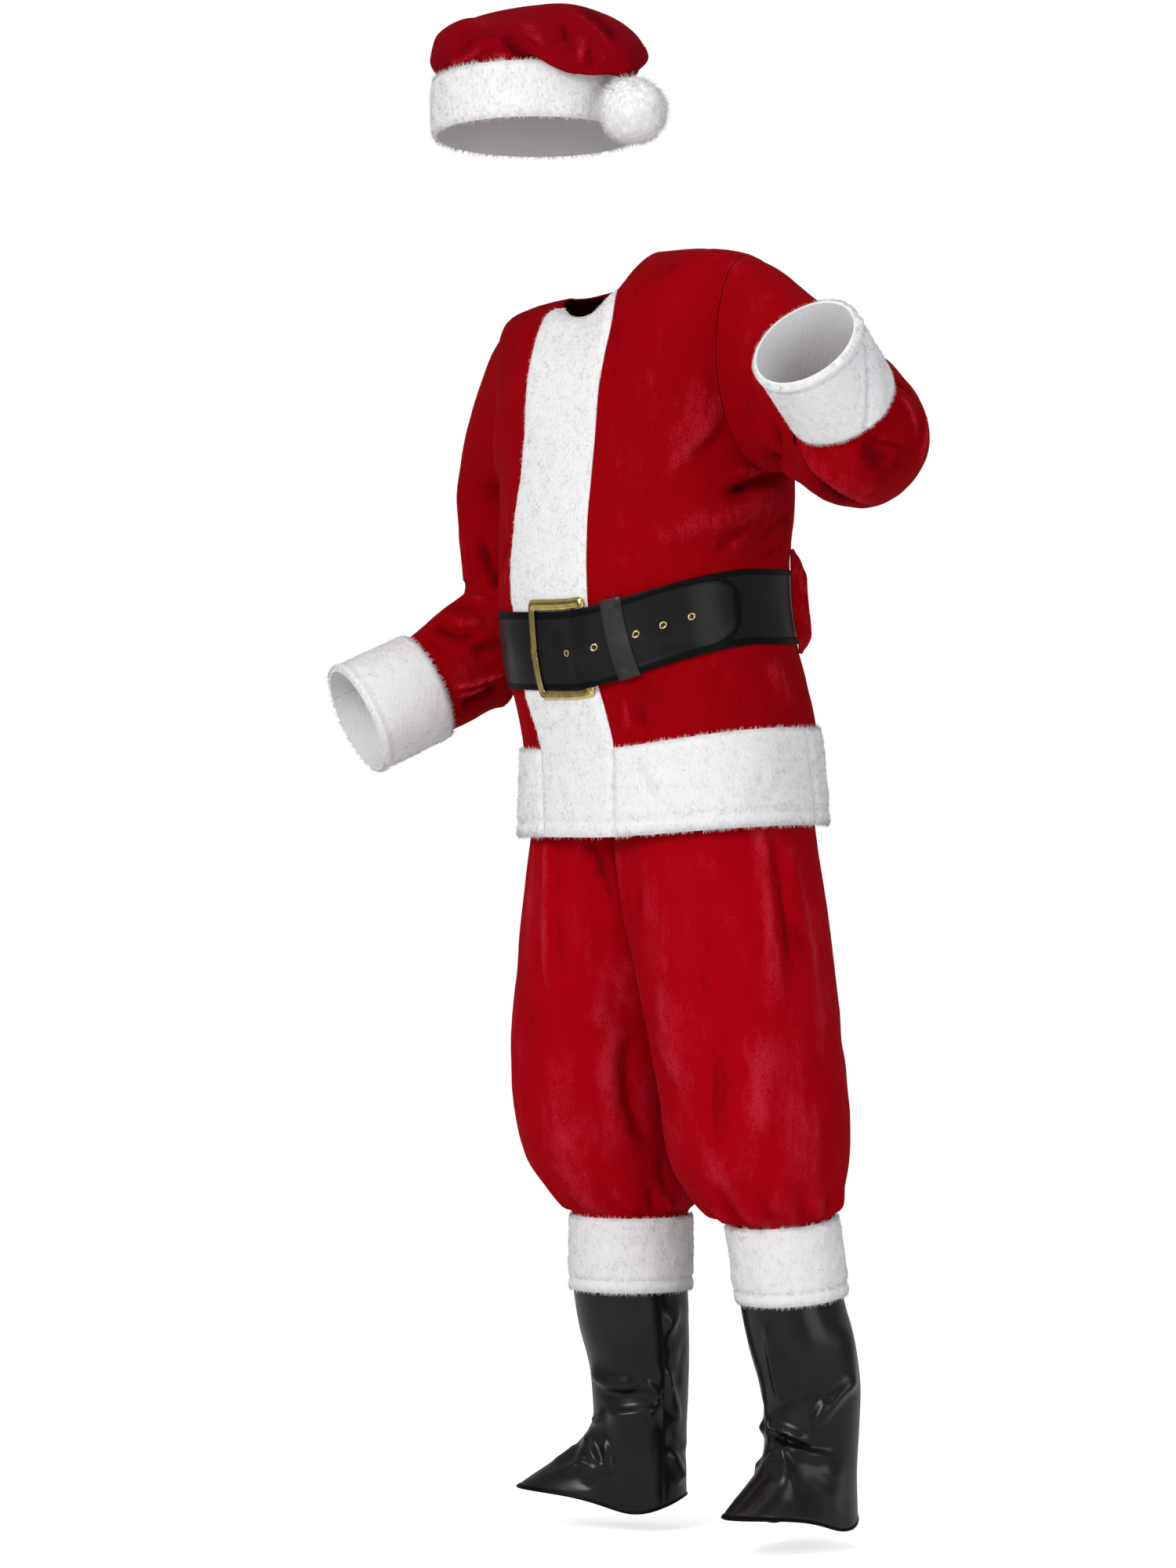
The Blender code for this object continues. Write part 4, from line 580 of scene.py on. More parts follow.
class SantaFur(bpy.types.PropertyGroup):
    """The white fur of the bands and the pom-pom."""

    density: number("Density", "How many fibres there are", 0.74, 0.05, 1.5)
    thickness: number("Fibre thickness", "The thickness of a tuft of fibres", 0.0005, 0.0002, 0.002, "LENGTH")
    pompom_pile: number("Pom-pom pile", "The length of the pom-pom's fibres in millimetres", 9.0, 4.0, 20.0)
    white: colour("White", "The fur's colour", (0.82, 0.82, 0.835))
    shade: colour("Shade", "The colour deep in the fur", (0.60, 0.60, 0.635))


class SantaLeather(bpy.types.PropertyGroup):
    """The belt, its metal and the boot covers."""

    folds: number("Fold depth", "How deep the folds of the boot covers are", 1.0, 0.0, 1.5)
    strap: colour("Belt black", "The strap's colour", (0.0035, 0.0035, 0.004))
    keeper: colour("Keeper black", "The keeper's colour", (0.020, 0.020, 0.022))
    vinyl: colour("Boot black", "The boot covers' colour", (0.003, 0.003, 0.0035))
    gold: colour("Gold", "The buckle's colour", (0.95, 0.76, 0.27))
    brass: colour("Brass", "The eyelets' colour", (0.80, 0.60, 0.30))


class SantaStage(bpy.types.PropertyGroup):
    """The floor and the light."""

    floor: colour("Floor", "The floor's colour", (0.93, 0.93, 0.93))
    reach: number("Floor reach", "Half the width of the floor", 14.0, 2.0, 40.0, "LENGTH")
    light: number("Light", "How bright the lights are", 1.0, 0.1, 4.0)


class SantaSettings(bpy.types.PropertyGroup):
    """Everything that a user would change."""

    plush: bpy.props.PointerProperty(type=SantaPlush, name="Plush", description="The red plush")
    fur: bpy.props.PointerProperty(type=SantaFur, name="Fur", description="The white fur")
    leather: bpy.props.PointerProperty(type=SantaLeather, name="Leather", description="Belt and boot covers")
    stage: bpy.props.PointerProperty(type=SantaStage, name="Stage", description="The floor and the light")


def settings():
    """The scene's own settings for the suit."""
    return bpy.context.scene.santa_suit


# ---------------------------------------------------------------- curves and walls

def read_rows(rows, position):
    """Reads a table at row numbers, whole or not, on a smooth curve through its rows.

    Between two rows it is the cubic whose slope at a row is half the step between its neighbours.
    """
    table = np.array(rows, float)
    last = len(table) - 1
    position = np.clip(np.asarray(position, float), 0.0, last)
    row = np.minimum(position.astype(int), last - 1)
    part = (position - row)[..., None]
    before = table[np.maximum(row - 1, 0)]
    here = table[row]
    after = table[row + 1]
    beyond = table[np.minimum(row + 2, last)]
    return (
        here * (1 + 2 * part) * (1 - part) ** 2
        + (after - before) / 2 * part * (1 - part) ** 2
        + after * part ** 2 * (3 - 2 * part)
        + (beyond - here) / 2 * part ** 2 * (part - 1)
    )


def smooth(value):
    """A soft step from 0 to 1: three squares less two cubes."""
    value = np.clip(value, 0.0, 1.0)
    return value * value * (3 - 2 * value)


def unit(vector):
    """The vector, or each vector of an array, divided by its length."""
    vector = np.asarray(vector, float)
    return vector / np.maximum(np.linalg.norm(vector, axis=-1, keepdims=True), 1e-9)


def oval(angle, wide, front, back, square):
    """A closed outline: the powers of its reach across and in depth add up to one."""
    depth = np.where(np.cos(angle) > 0, front, back)
    power = (np.abs(np.sin(angle)) / wide) ** square + (np.abs(np.cos(angle)) / depth) ** square
    reach = power ** (-1 / square)
    return reach * np.sin(angle), -reach * np.cos(angle)


def normal_of(surface, first, second):
    """The cross product of a surface's two slopes, at length 1."""
    step = 0.002
    across = surface(first + step, second) - surface(first - step, second)
    along = surface(first, second + step) - surface(first, second - step)
    return unit(np.cross(across, along))


def moved_out(surface, first, second, distance):
    """Points of a surface of two parameters, moved along its normal."""
    return surface(first, second) + normal_of(surface, first, second) * np.asarray(distance, float)[..., None]


def spread(surface, columns, places):
    """The points and the normals of a surface at columns of angles and at row numbers."""
    places = np.broadcast_to(places, columns.shape)
    return surface(columns, places), normal_of(surface, columns, places)


def wall(base, normal, low, high):
    """The outer and the inner face of a wall between two heights over a surface."""
    return base + normal * np.asarray(high)[..., None], base + normal * np.asarray(low)[..., None]


def ring_turn(count):
    """Even angles round a ring, from 0 to one step short of a whole turn."""
    return np.linspace(0, 2 * np.pi, count, endpoint=False)


def closed(grid):
    """A ring's grid with its first column again after its last."""
    return np.concatenate([grid, grid[:, :1]], axis=1)


def ring_numbers(rows, columns, both=False):
    """The point numbers of a grid that closes round, and end to end too where both is set."""
    numbers = closed(np.arange(rows * columns).reshape(rows, columns))
    return np.concatenate([numbers, numbers[:1]]) if both else numbers


def grid_normals(grid, middles):
    """Outward normals of a closed tube of points: the cross product of its steps round and along."""
    across = np.roll(grid, -1, axis=1) - np.roll(grid, 1, axis=1)
    normal = unit(np.cross(across, np.gradient(grid, axis=0)))
    outward = np.sum(normal * (grid - middles[:, None, :]), axis=-1).sum()
    return normal if outward > 0 else -normal


def edged(steps, first=0.012, second=0.03):
    """Shares from 0 to 1 in even steps, with two more lines close to each end for a seam."""
    inner = np.linspace(0, 1, steps + 1)[1:-1]
    ends = np.array([0.0, first, second])
    inner = inner[(inner > second * 1.4) & (inner < 1 - second * 1.4)]
    return np.concatenate([ends, inner, 1 - ends[::-1]])


def rolled(distance, reach):
    """A quarter circle from 0 at an edge up to 1 at the reach and past it."""
    away = 1 - np.clip(distance / reach, 0.0, 1.0)
    return np.sqrt(1 - away ** 2)


def plump(distance, reach, least):
    """A quarter circle from a least share at an edge up to 1 at the reach and past it."""
    return least + (1 - least) * rolled(distance, reach)


def bump(distance, width):
    """A bell, 1 in the middle and nearly nothing at two widths."""
    return np.exp(-(distance / width) ** 2)


def two_ends(to_start, to_end):
    """Above 0 near a trim's start, where its fibres hang over the cloth, and below 0 near its end."""
    return bump(to_start, 6.0) - bump(to_end, 5.0)


def uneven(points, size, seed):
    """Soft noise from -1 to 1: random numbers at the corners of cubes, mixed by soft steps."""
    table = np.random.default_rng(seed).uniform(-1, 1, (16, 16, 16))
    place = np.asarray(points) / size
    cell = np.floor(place)
    part = smooth(place - cell)
    cell = cell.astype(int)
    total = np.zeros(place.shape[:-1])
    for corner in np.ndindex(2, 2, 2):
        weight = np.prod(np.where(np.array(corner) == 1, part, 1 - part), axis=-1)
        x, y, z = np.moveaxis((cell + corner) % 16, -1, 0)
        total += weight * table[x, y, z]
    return total


def roughened(height, points, kind):
    """A height with the layers of soft noise of its kind added one by one."""
    for gain, stretch, size, seed in NOISE[kind]:
        height = height + gain * uneven(points * (1, 1, stretch), size, seed)
    return height


def tufted(points, seed):
    """The uneven surface of short fur: soft noise at two sizes, in millimetres."""
    return 0.8 * uneven(points, 15.0, seed) + 0.45 * uneven(points, 6.0, seed + 1)


def through_three(places, steps=14):
    """A curve through three places: the parabola that meets them at the start, half way and end."""
    share = np.linspace(0, 1, steps + 1)[:, None]
    return (
        places[0] * (2 * share - 1) * (share - 1)
        + places[1] * 4 * share * (1 - share)
        + places[2] * share * (2 * share - 1)
    )


def nearest_on(curve, spots):
    """Each spot's distance from a run of short steps, its share of the way along, and its side.

    A spot is dropped square onto every step and kept between its ends, and the nearest foot counts.
    """
    step = curve[1:] - curve[:-1]
    away = spots[:, None, :] - curve[None, :-1]
    share = np.clip((away * step).sum(-1) / np.maximum((step * step).sum(-1), 1e-9), 0, 1)
    gap = away - share[..., None] * step
    distance = np.linalg.norm(gap, axis=-1)
    near = distance.argmin(axis=1)
    spot = np.arange(len(spots))
    along = (near + share[spot, near]) / len(step)
    side = np.ones(len(spots))
    if spots.shape[-1] == 2:
        gap = gap[spot, near]
        side = step[near, 0] * gap[:, 1] - step[near, 1] * gap[:, 0]
    return distance[spot, near], along, side


def one_fold(curve, spots, height, left, right):
    """The height of one fold at some spots.

    A ridge falls off as a bell and a trough as a rounded point. Both fade towards the two ends.
    """
    total = np.zeros(len(spots))
    reach = 2.6 * max(left, right)
    inside = ((spots > curve.min(axis=0) - reach) & (spots < curve.max(axis=0) + reach)).all(axis=-1)
    if not inside.any():
        return total
    distance, along, side = nearest_on(curve, spots[inside])
    width = np.where(side > 0, left, right)
    if height > 0:
        fall = bump(distance, width)
    else:
        point = 0.35 * width
        fall = np.exp(-(np.hypot(distance, point) - point) / (0.62 * width))
    total[inside] = height * fall * smooth(along / 0.3) * smooth((1 - along) / 0.3)
    return total


def flat_folds(folds, around, along, reach, period):
    """The sum of a table of folds on a surface laid flat: the way round times its reach, and along."""
    shape = around.shape
    total = np.zeros(around.size)
    for *places, height, left, right in folds:
        places = np.array(places).reshape(3, 2)
        middle = places[1, 0]
        turned = (around.ravel() - middle + period / 2) % period - period / 2
        spots = np.stack([turned * reach, along.ravel()], -1)
        curve = through_three(places) - (middle, 0.0)
        total += one_fold(curve * (reach, 1.0), spots, height, left, right)
    return total.reshape(shape)


def grid_quads(numbers):
    """Four corner numbers for each cell of a grid of point numbers."""
    corners = [numbers[:-1, :-1], numbers[:-1, 1:], numbers[1:, 1:], numbers[1:, :-1]]
    return np.stack(corners, -1).reshape(-1, 4)


def add_thing(name, data):
    """A new object in the scene."""
    thing = bpy.data.objects.new(name, data)
    bpy.context.scene.collection.objects.link(thing)
    return thing


def add_piece(name, points, quads, triangles, look, marks=None, sharp=50.0):
    """Makes one piece from points in millimetres, with its faces out, and lets it ride.

    Its faces point out when the sum of the small volumes between them and the origin is positive.
    """
    points = (np.asarray(points, float).reshape(-1, 3) - NECK) * MM
    quads = np.asarray(quads, int).reshape(-1, 4)
    triangles = np.asarray(triangles, int).reshape(-1, 3)
    whole = np.concatenate([quads[:, [0, 1, 2]], quads[:, [0, 2, 3]], triangles])
    corners = points[whole]
    if np.einsum("ij,ij->i", corners[:, 0], np.cross(corners[:, 1], corners[:, 2])).sum() < 0:
        quads = quads[:, ::-1]
        triangles = triangles[:, ::-1]
    mesh = bpy.data.meshes.new(name)
    mesh.vertices.add(len(points))
    mesh.vertices.foreach_set("co", points.ravel())
    loops = np.concatenate([quads.ravel(), triangles.ravel()])
    mesh.loops.add(len(loops))
    mesh.loops.foreach_set("vertex_index", loops)
    starts = np.concatenate([4 * np.arange(len(quads)), 4 * len(quads) + 3 * np.arange(len(triangles))])
    mesh.polygons.add(len(starts))
    mesh.polygons.foreach_set("loop_start", starts)
    mesh.update(calc_edges=True)
    mesh.shade_smooth()
    if sharp:
        mesh.set_sharp_from_angle(angle=math.radians(sharp))
    for mark, values in (marks or {}).items():
        attribute = mesh.attributes.new(mark, "FLOAT", "POINT")
        attribute.data.foreach_set("value", np.asarray(values, float).ravel())
    mesh.materials.append(finish(look))
    piece = add_thing(name, mesh)
    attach(piece, ROOT)
    return piece


def cloth(node, look, faces, marks=None, ring=False, closed_end=False, extra=None):
    """A sheet of cloth in place of a node: a closed wall between two grids of points.

    A ring's rows close on themselves. A closed end gets a flat cap on both skins. Its look gives
    the piece its finish.
    """
    outer, inner = faces
    rows, columns = outer.shape[:2]
    shift = rows * columns
    numbers = np.arange(shift).reshape(rows, columns)
    if ring:
        numbers = closed(numbers)
    skin = grid_quads(numbers)
    quads = [skin, skin[:, ::-1] + shift, grid_quads(np.stack([numbers[0] + shift, numbers[0]]))]
    triangles = np.zeros((0, 3), int)
    points = [outer.reshape(-1, 3), inner.reshape(-1, 3)]
    marks = {mark: np.tile(np.asarray(values).ravel(), 2) for mark, values in (marks or {}).items()}
    if closed_end:
        middle = 2 * shift
        last = numbers[-1]
        cap = np.stack([last[:-1], last[1:], np.full(len(last) - 1, middle)], -1)
        triangles = np.concatenate([cap, np.where(cap == middle, middle + 1, cap + shift)[:, ::-1]])
        points += [outer[-1].mean(axis=0)[None], inner[-1].mean(axis=0)[None]]
        marks = {mark: np.append(values, [0.0, 0.0]) for mark, values in marks.items()}
    else:
        quads.append(grid_quads(np.stack([numbers[-1], numbers[-1] + shift])))
    if not ring:
        quads.append(grid_quads(np.stack([numbers[:, 0], numbers[:, 0] + shift])))
        quads.append(grid_quads(np.stack([numbers[:, -1] + shift, numbers[:, -1]])))
    suffix, slot = LOOKS[look]
    piece = add_piece(
        "%s_%s" % (node, suffix), np.concatenate(points), np.concatenate(quads), triangles, look, marks)
    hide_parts(node)
    fibres = [extra()] if extra else ()


def fur_on(name, grid, normal, cover, length, lay, lean, seed, keep=None, shine=0.25, ends=None, look="fur"):
    """Fibres rooted all over a grid of points, each a closed spike on a base of three points.

    A fibre's root lies at random in a cell picked by its area. Its way is the normal, leaned
    towards the lay and turned by soft noise, so that neighbours hang together in tufts. Where ends
    is not 0 the fibres are denser, and where it is above 0 they lean against the lay.
    """
    sizes = settings().fur
    rng = np.random.default_rng(seed)
    corner = grid[:-1, :-1]
    area = np.linalg.norm(np.cross(grid[:-1, 1:] - corner, grid[1:, :-1] - corner), axis=-1)
    if keep is not None:
        area = area * keep
    if ends is not None:
        area = area * (1 + 2 * np.abs(ends[:-1, :-1]))
    count = int(area.sum() * cover * sizes.density)
    cell = rng.choice(area.size, count, p=(area / area.sum()).ravel())
    row, column = np.unravel_index(cell, area.shape)
    across, along = rng.random((2, count, 1))

    def mixed(values):
        """Values at the roots: a cell's four corners mixed by the shares across and along it."""
        first = values[row, column] * (1 - across) + values[row, column + 1] * across
        second = values[row + 1, column] * (1 - across) + values[row + 1, column + 1] * across
        return first * (1 - along) + second * along

    root = mixed(grid)
    out = unit(mixed(normal))
    tuft = np.stack([uneven(root, 9.0, seed + turn) for turn in (1, 2, 3)], -1)
    fine = np.stack([uneven(root, 3.5, seed + turn) for turn in (4, 5, 6)], -1)
    way = lay(root, out) if callable(lay) else np.broadcast_to(np.array(lay, float), out.shape)
    if ends is not None:
        way = way * (1 - 2 * np.clip(mixed(ends[..., None]), 0, 1))
    way = way + 0.9 * tuft + 0.8 * fine + 0.45 * rng.normal(size=out.shape)
    way = unit(way - out * (way * out).sum(-1, keepdims=True))
    rise = np.clip(lean + 0.22 * tuft[:, :1] + 0.16 * rng.normal(size=(count, 1)), 0.12, 1.0)
    way = unit(out * rise + way * np.sqrt(1 - rise ** 2))
    reach = length * (0.7 + 0.6 * rng.random((count, 1)))
    side = unit(np.cross(way, out + 0.3 * rng.normal(size=out.shape)))
    other = np.cross(way, side)
    thick = sizes.thickness / MM / 2 * (0.8 + 0.4 * rng.random((count, 1)))
    root = root - out * 0.6
    turn = np.radians([90.0, 210.0, 330.0])
    base = [root + thick * (np.cos(angle) * side + np.sin(angle) * other) for angle in turn]
    points = np.stack([*base, root + way * reach], axis=1)
    first = 4 * np.arange(count)[:, None]
    spike = np.array([[0, 1, 3], [1, 2, 3], [2, 0, 3], [0, 2, 1]])
    triangles = (first[:, None] + spike[None]).reshape(-1, 3)
    piece = add_piece(name, points, (), triangles, look, sharp=0.0)
    facing = unit(out + shine * way)
    piece.data.normals_split_custom_set_from_vertices(np.repeat(facing, 4, axis=0))
    return piece


def trim(node, faces, normal, seed, lay=DOWN, lean=0.24, length=TRIM_FIBRE, keep=None, ends=None, ring=False):
    """A fur trim in place of a node: its plain wall, with fibres all over the outer face."""
    shut = closed if ring else np.asarray
    cloth(node, "fur", faces, ring=ring, extra=lambda: fur_on(
        node + "_fibres", shut(faces[0]), shut(normal), TRIM_COVER, length, lay, lean, seed,
        keep=keep, ends=None if ends is None else shut(ends)))


# ---------------------------------------------------------------- jacket

def body_surface(angle, row):
    """The inner face of the jacket's cloth: an oval at each level, whose ring rises at its sides."""
    (level, middle_x, middle_y, wide, front, back, square,
     up_left, up_right, up_front, up_back) = np.moveaxis(read_rows(BODY_ROWS, row), -1, 0)[:11]
    x, y = oval(angle, wide, front, back, square)
    side = np.sin(angle)
    face = np.cos(angle)
    rise = side ** 2 * np.where(side > 0, up_left, up_right)
    rise = rise + face ** 2 * np.where(face > 0, up_front, up_back)
    return np.stack([x + middle_x, y + middle_y, level + rise], -1)


def body_row(level):
    """The body row number of a level."""
    rows = np.linspace(0, len(BODY_ROWS) - 1, READ_STEPS)
    return np.interp(level, read_rows(BODY_ROWS, rows)[:, 0], rows)


def body_level(row):
    """The level of a body row number."""
    return read_rows(BODY_ROWS, row)[..., 0]


def armhole_angle(rows):
    """How far the armhole's edge stands from the side line at each body row: an oval."""
    half = (ARMHOLE_HIGH - ARMHOLE_LOW) / 2
    place = (rows - ARMHOLE_LOW - half) / half
    return ARMHOLE_WIDE * np.sqrt(np.maximum(1 - place ** 2, 0.0))


def seam_angles(rows):
    """The angles of the front band's right edge, its middle, its left edge and the side seam."""
    right, left, side = np.radians(read_rows(BODY_ROWS, rows)[:, 11:14]).T
    return right, (right + left) / 2, left, side


def panel_rows(steps):
    """Body row numbers from the cloth's edge to the neck, closer together round the armholes."""
    turn = np.linspace(0, np.pi, steps // 2)
    half = (ARMHOLE_HIGH - ARMHOLE_LOW) / 2
    armhole = ARMHOLE_LOW + half - half * np.cos(turn)
    under = body_row(np.linspace(CLOTH_EDGE, float(body_level(ARMHOLE_LOW)), steps // 2 - 6))[:-1]
    return np.concatenate([under, armhole, np.linspace(ARMHOLE_HIGH, len(BODY_ROWS) - 1, 10)[1:]])


def between(first, last, shares):
    """Columns of angles from one edge to another, a row for each body row."""
    return first[:, None] * (1 - shares) + last[:, None] * shares


def reach_at(rows):
    """The body's mean reach at each row, in millimetres."""
    return read_rows(BODY_ROWS, rows)[:, 3:6].mean(axis=1)[:, None]


def under_belt(level, soft):
    """1 under the belt and 0 clear of it, with soft steps of a height."""
    return smooth((level - BELT_LOW + soft) / soft) * smooth((BELT_HIGH + soft - level) / soft)


def body_field(folds, columns, level):
    """The sum of a table of folds on the jacket's body."""
    return flat_folds(folds, np.degrees(columns), level + 0 * columns, np.radians(BODY_RADIUS), 360.0)


def jacket_height(base, folds, level, to_armhole, to_band):
    """The jacket's folds and soft noise, which lie flat under the belt, the bands and at the armhole."""
    folds = roughened(folds, base, "jacket")
    free = (1 - under_belt(level, 14.0)) * smooth((level - BAND_TOP - 2) / 16) * smooth(to_band / 14)
    free = free * (0.15 + 0.85 * smooth(to_armhole / 22))
    deepest = -4.0 - 14 * smooth((level - BELT_HIGH) / 20)
    return np.maximum(FOLD_DEPTH["jacket"] * settings().plush.folds * folds * free, deepest)


def fold_shade(relief):
    """Painted highlight on a fold's ridge, and painted shade in its trough below 0, for the nap mark."""
    return np.clip(relief / 14, -0.7, 0.3)


def jacket_panel(node, rows, columns, band_edge=None):
    """One panel of the jacket: its cloth moved out of the body by its folds, with sunk seams.

    The back has a seam and an armhole at each end. A front has them at its last column only, and
    lies flat under the front band.
    """
    reach = reach_at(rows)
    to_edge = np.abs(columns[:, -1:] - columns) * reach
    to_band, covered = FAR + 0 * columns, 0 * columns
    if band_edge is None:
        to_edge = np.minimum(np.abs(columns - columns[:, :1]) * reach, to_edge)
    else:
        to_band = np.abs(columns - band_edge[:, None]) * reach
        covered = (np.abs(columns) < np.abs(band_edge[:, None])).astype(float)
    at_armhole = ((rows > ARMHOLE_LOW) & (rows < ARMHOLE_HIGH))[:, None]
    level = body_level(rows)[:, None] + 0 * columns
    base, normal = spread(body_surface, columns, rows[:, None])
    folds = body_field(JACKET_FOLDS, columns, level)
    relief = jacket_height(base, folds, level, np.where(at_armhole, to_edge, FAR), to_band) * (1 - covered)
    relief = relief - 0.45 * bump(to_edge, 3.0)
    # The nap mark: the table's brushed nap and painted light, a painted highlight along the seams, and the
    # folds' painted highlights and shade.
    nap = body_field(JACKET_NAP_AND_SHADING, columns, level) + 0.3 * bump(to_edge, 2.2) + fold_shade(relief)
    cloth(node, "jacket_plush", wall(base, normal, relief, CLOTH + relief), {"nap": nap})


def narrowed(rows, columns):
    """Columns of angles whose first and last ones are drawn in by half a seam's gap."""
    inset = SEAM_GAP / 2 / (read_rows(BODY_ROWS, rows)[:, 4] - CLOTH)
    inset = inset * np.sign(columns[:, -1] - columns[:, 0])
    columns = columns.copy()
    columns[:, 0] += inset
    columns[:, -1] -= inset
    return columns


def make_jacket():
    """The two fronts, which meet under the band, and the back."""
    steps = settings().plush.jacket_steps
    rows = panel_rows(steps)
    right, middle, left, seam = seam_angles(rows)
    cut = armhole_angle(rows)
    under = np.linspace(0, 1, 6)[None, :-1]
    shares = edged(round(steps * 0.36))[None]
    for (side, sign), edge in zip(SIDES, (left, right)):
        columns = np.concatenate(
            [between(middle, edge, under), between(edge, sign * (seam - cut), shares)], axis=1)
        jacket_panel("jacket_front_" + side, rows, narrowed(rows, columns), edge)
    back = between(seam + cut, 2 * np.pi - seam - cut, edged(round(steps * 0.64))[None])
    jacket_panel("jacket_back", rows, narrowed(rows, back))


def band_edges(rows, columns):
    """How far each place of a band lies from the nearer of its two side edges."""
    return np.minimum(columns - columns[:, :1], columns[:, -1:] - columns) * reach_at(rows)


def body_fur(node, rows, columns, thickness, seeds, **facts):
    """A fur band on the body, from just off the cloth out to its pile, with fibres on it."""
    base, normal = spread(body_surface, columns, rows[:, None])
    low = CLOTH + SEAM_GAP
    trim(node, wall(base, normal, low, low + thickness(base, seeds[0])), normal, seeds[1], **facts)


def make_front_band():
    """The fur band down the front, pressed thin under the belt."""
    top = float(body_level(len(BODY_ROWS) - 1))
    up, across = GRIDS["front_band"]
    rows = body_row(np.linspace(HEM, top, up))
    right, middle, left, seam = seam_angles(rows)
    columns = between(right, left, np.linspace(0, 1, across)[None])
    to_edge = band_edges(rows, columns)
    level = body_level(rows)[:, None]
    ends = np.minimum(level - HEM, top - level)
    pressed = under_belt(level, 12.0)
    full = PLACKET_FUR * (1 - pressed) + (PRESSED_FUR - LEAST_FUR) * pressed
    thickness = full * plump(to_edge, 9.0, 0.2) * plump(ends + 0 * to_edge, 8.0, 0.35)
    thickness = thickness - 1.2 * bump(level - HEM_STITCH, 3.0) * (to_edge > 0)
    keep = 1 - 0.97 * pressed[:-1] * np.ones((1, columns.shape[1] - 1))
    body_fur(
        "jacket_front_band", rows, columns,
        lambda base, tufts: np.maximum(thickness + tufted(base, tufts) * (1 - pressed), 0.6),
        FUR_SEEDS["front_band"], keep=keep)


def make_hem_bands():
    """Three fur bands round the hem, turned under at a line of stitches above the edge."""
    rows = body_row(np.linspace(HEM, BAND_TOP, GRIDS["hem"][0]))
    right, middle, left, seam = seam_angles(rows)
    level = body_level(rows)[:, None]
    spans = (
        ("front_left", left, seam, 50), ("front_right", -seam, right, 44),
        ("back", seam, 2 * np.pi - seam, 90))
    for number, (part, first, last, steps) in enumerate(spans):
        columns = between(first, last, np.linspace(0, 1, steps)[None])
        columns = narrowed(rows, narrowed(rows, columns))
        up = level - HEM + 0 * columns
        ends = np.minimum(up, BAND_TOP - level)
        thickness = BAND_FUR * plump(ends, 9.0, 0.25) * plump(band_edges(rows, columns), 5.0, 0.35)
        thickness = thickness - 2.6 * bump(level - HEM_STITCH, 2.8)
        folds = body_field(HEM_FOLDS, columns, level) * rolled(ends, 9.0)
        thickness = np.maximum(thickness + folds, LEAST_FUR)
        seeds = np.array(FUR_SEEDS["hem"]) + 3 * number
        body_fur(
            "hem_band_" + part, rows, columns,
            lambda base, tufts: thickness + tufted(base, tufts) * rolled(thickness, 5.0),
            seeds, ends=two_ends(BAND_TOP - level - 1, up))


# ---------------------------------------------------------------- sleeves

def ring_frames(middles):
    """Two directions across a path at each of its points, carried along it without twist.

    The first starts upright and loses its part along the path at each step. The second is the
    cross product of the path's own direction and the first.
    """
    along = unit(np.gradient(middles, axis=0))
    up = np.zeros_like(middles)
    guide = np.array([0.0, 0.0, 1.0])
    for station, way in enumerate(along):
        guide = unit(guide - way * np.dot(guide, way))
        up[station] = guide
    front = np.cross(along, up)
    return up, front if front[0, 1] < 0 else -front


def sleeve_grid(side, sign, stations, turn):
    """The outer face of a sleeve and the middles of its rings.

    The first ring is the armhole on the body, and a soft step turns it into the table's ovals.
    """
    coarse = np.linspace(0, len(SLEEVE_ROWS[side]) - 1, SLEEVE_FRAMES)
    rows = read_rows(SLEEVE_ROWS[side], stations)
    middles = rows[:, :3]
    up, front = [
        unit(np.stack([np.interp(stations, coarse, way[:, axis]) for axis in range(3)], -1))
        for way in ring_frames(read_rows(SLEEVE_ROWS[side], coarse)[:, :3])
    ]
    fit = 1 - SLEEVE_GAP / ARMHOLE_HALF
    edge_row = ARMHOLE_LOW + (ARMHOLE_HIGH - ARMHOLE_LOW) / 2 * (1 - fit * np.cos(turn))
    edge_angle = sign * (np.pi / 2 - fit * ARMHOLE_WIDE * np.sin(turn))
    edge = moved_out(body_surface, edge_angle, edge_row, np.full(len(turn), CLOTH))
    rise = -np.cos(turn)[None, :, None] * rows[:, 3, None, None] * up[:, None, :]
    reach = np.sin(turn)[None, :, None] * rows[:, 4, None, None] * front[:, None, :]
    blend = smooth(stations / SLEEVE_BLEND)[:, None, None]
    start = edge[None] + (middles - middles[0])[:, None, :] * SLEEVE_START
    return start * (1 - blend) + (middles[:, None, :] + rise + reach) * blend, middles


def eased_along(grid, amount):
    """A grid whose rows are drawn towards the mean of their neighbours, again and again.

    Each step mixes in a quarter of the row before, half of itself and a quarter of the row after.
    """
    eased = grid.copy()
    for _ in range(ELBOW_STEPS):
        eased[1:-1] = (eased[:-2] + 2 * eased[1:-1] + eased[2:]) / 4
    amount = amount[:, None, None]
    return grid * (1 - amount) + eased * amount


def sleeve_field(folds, degrees, length):
    """The sum of a table of folds on a sleeve, whose section numbers become millimetres along it."""
    scale = np.tile([1.0, SLEEVE_STEP], 3)
    table = [(*np.array(fold[:6]) * scale, *fold[6:]) for fold in folds]
    return flat_folds(table, degrees, length, np.radians(SLEEVE_RADIUS), 360.0)


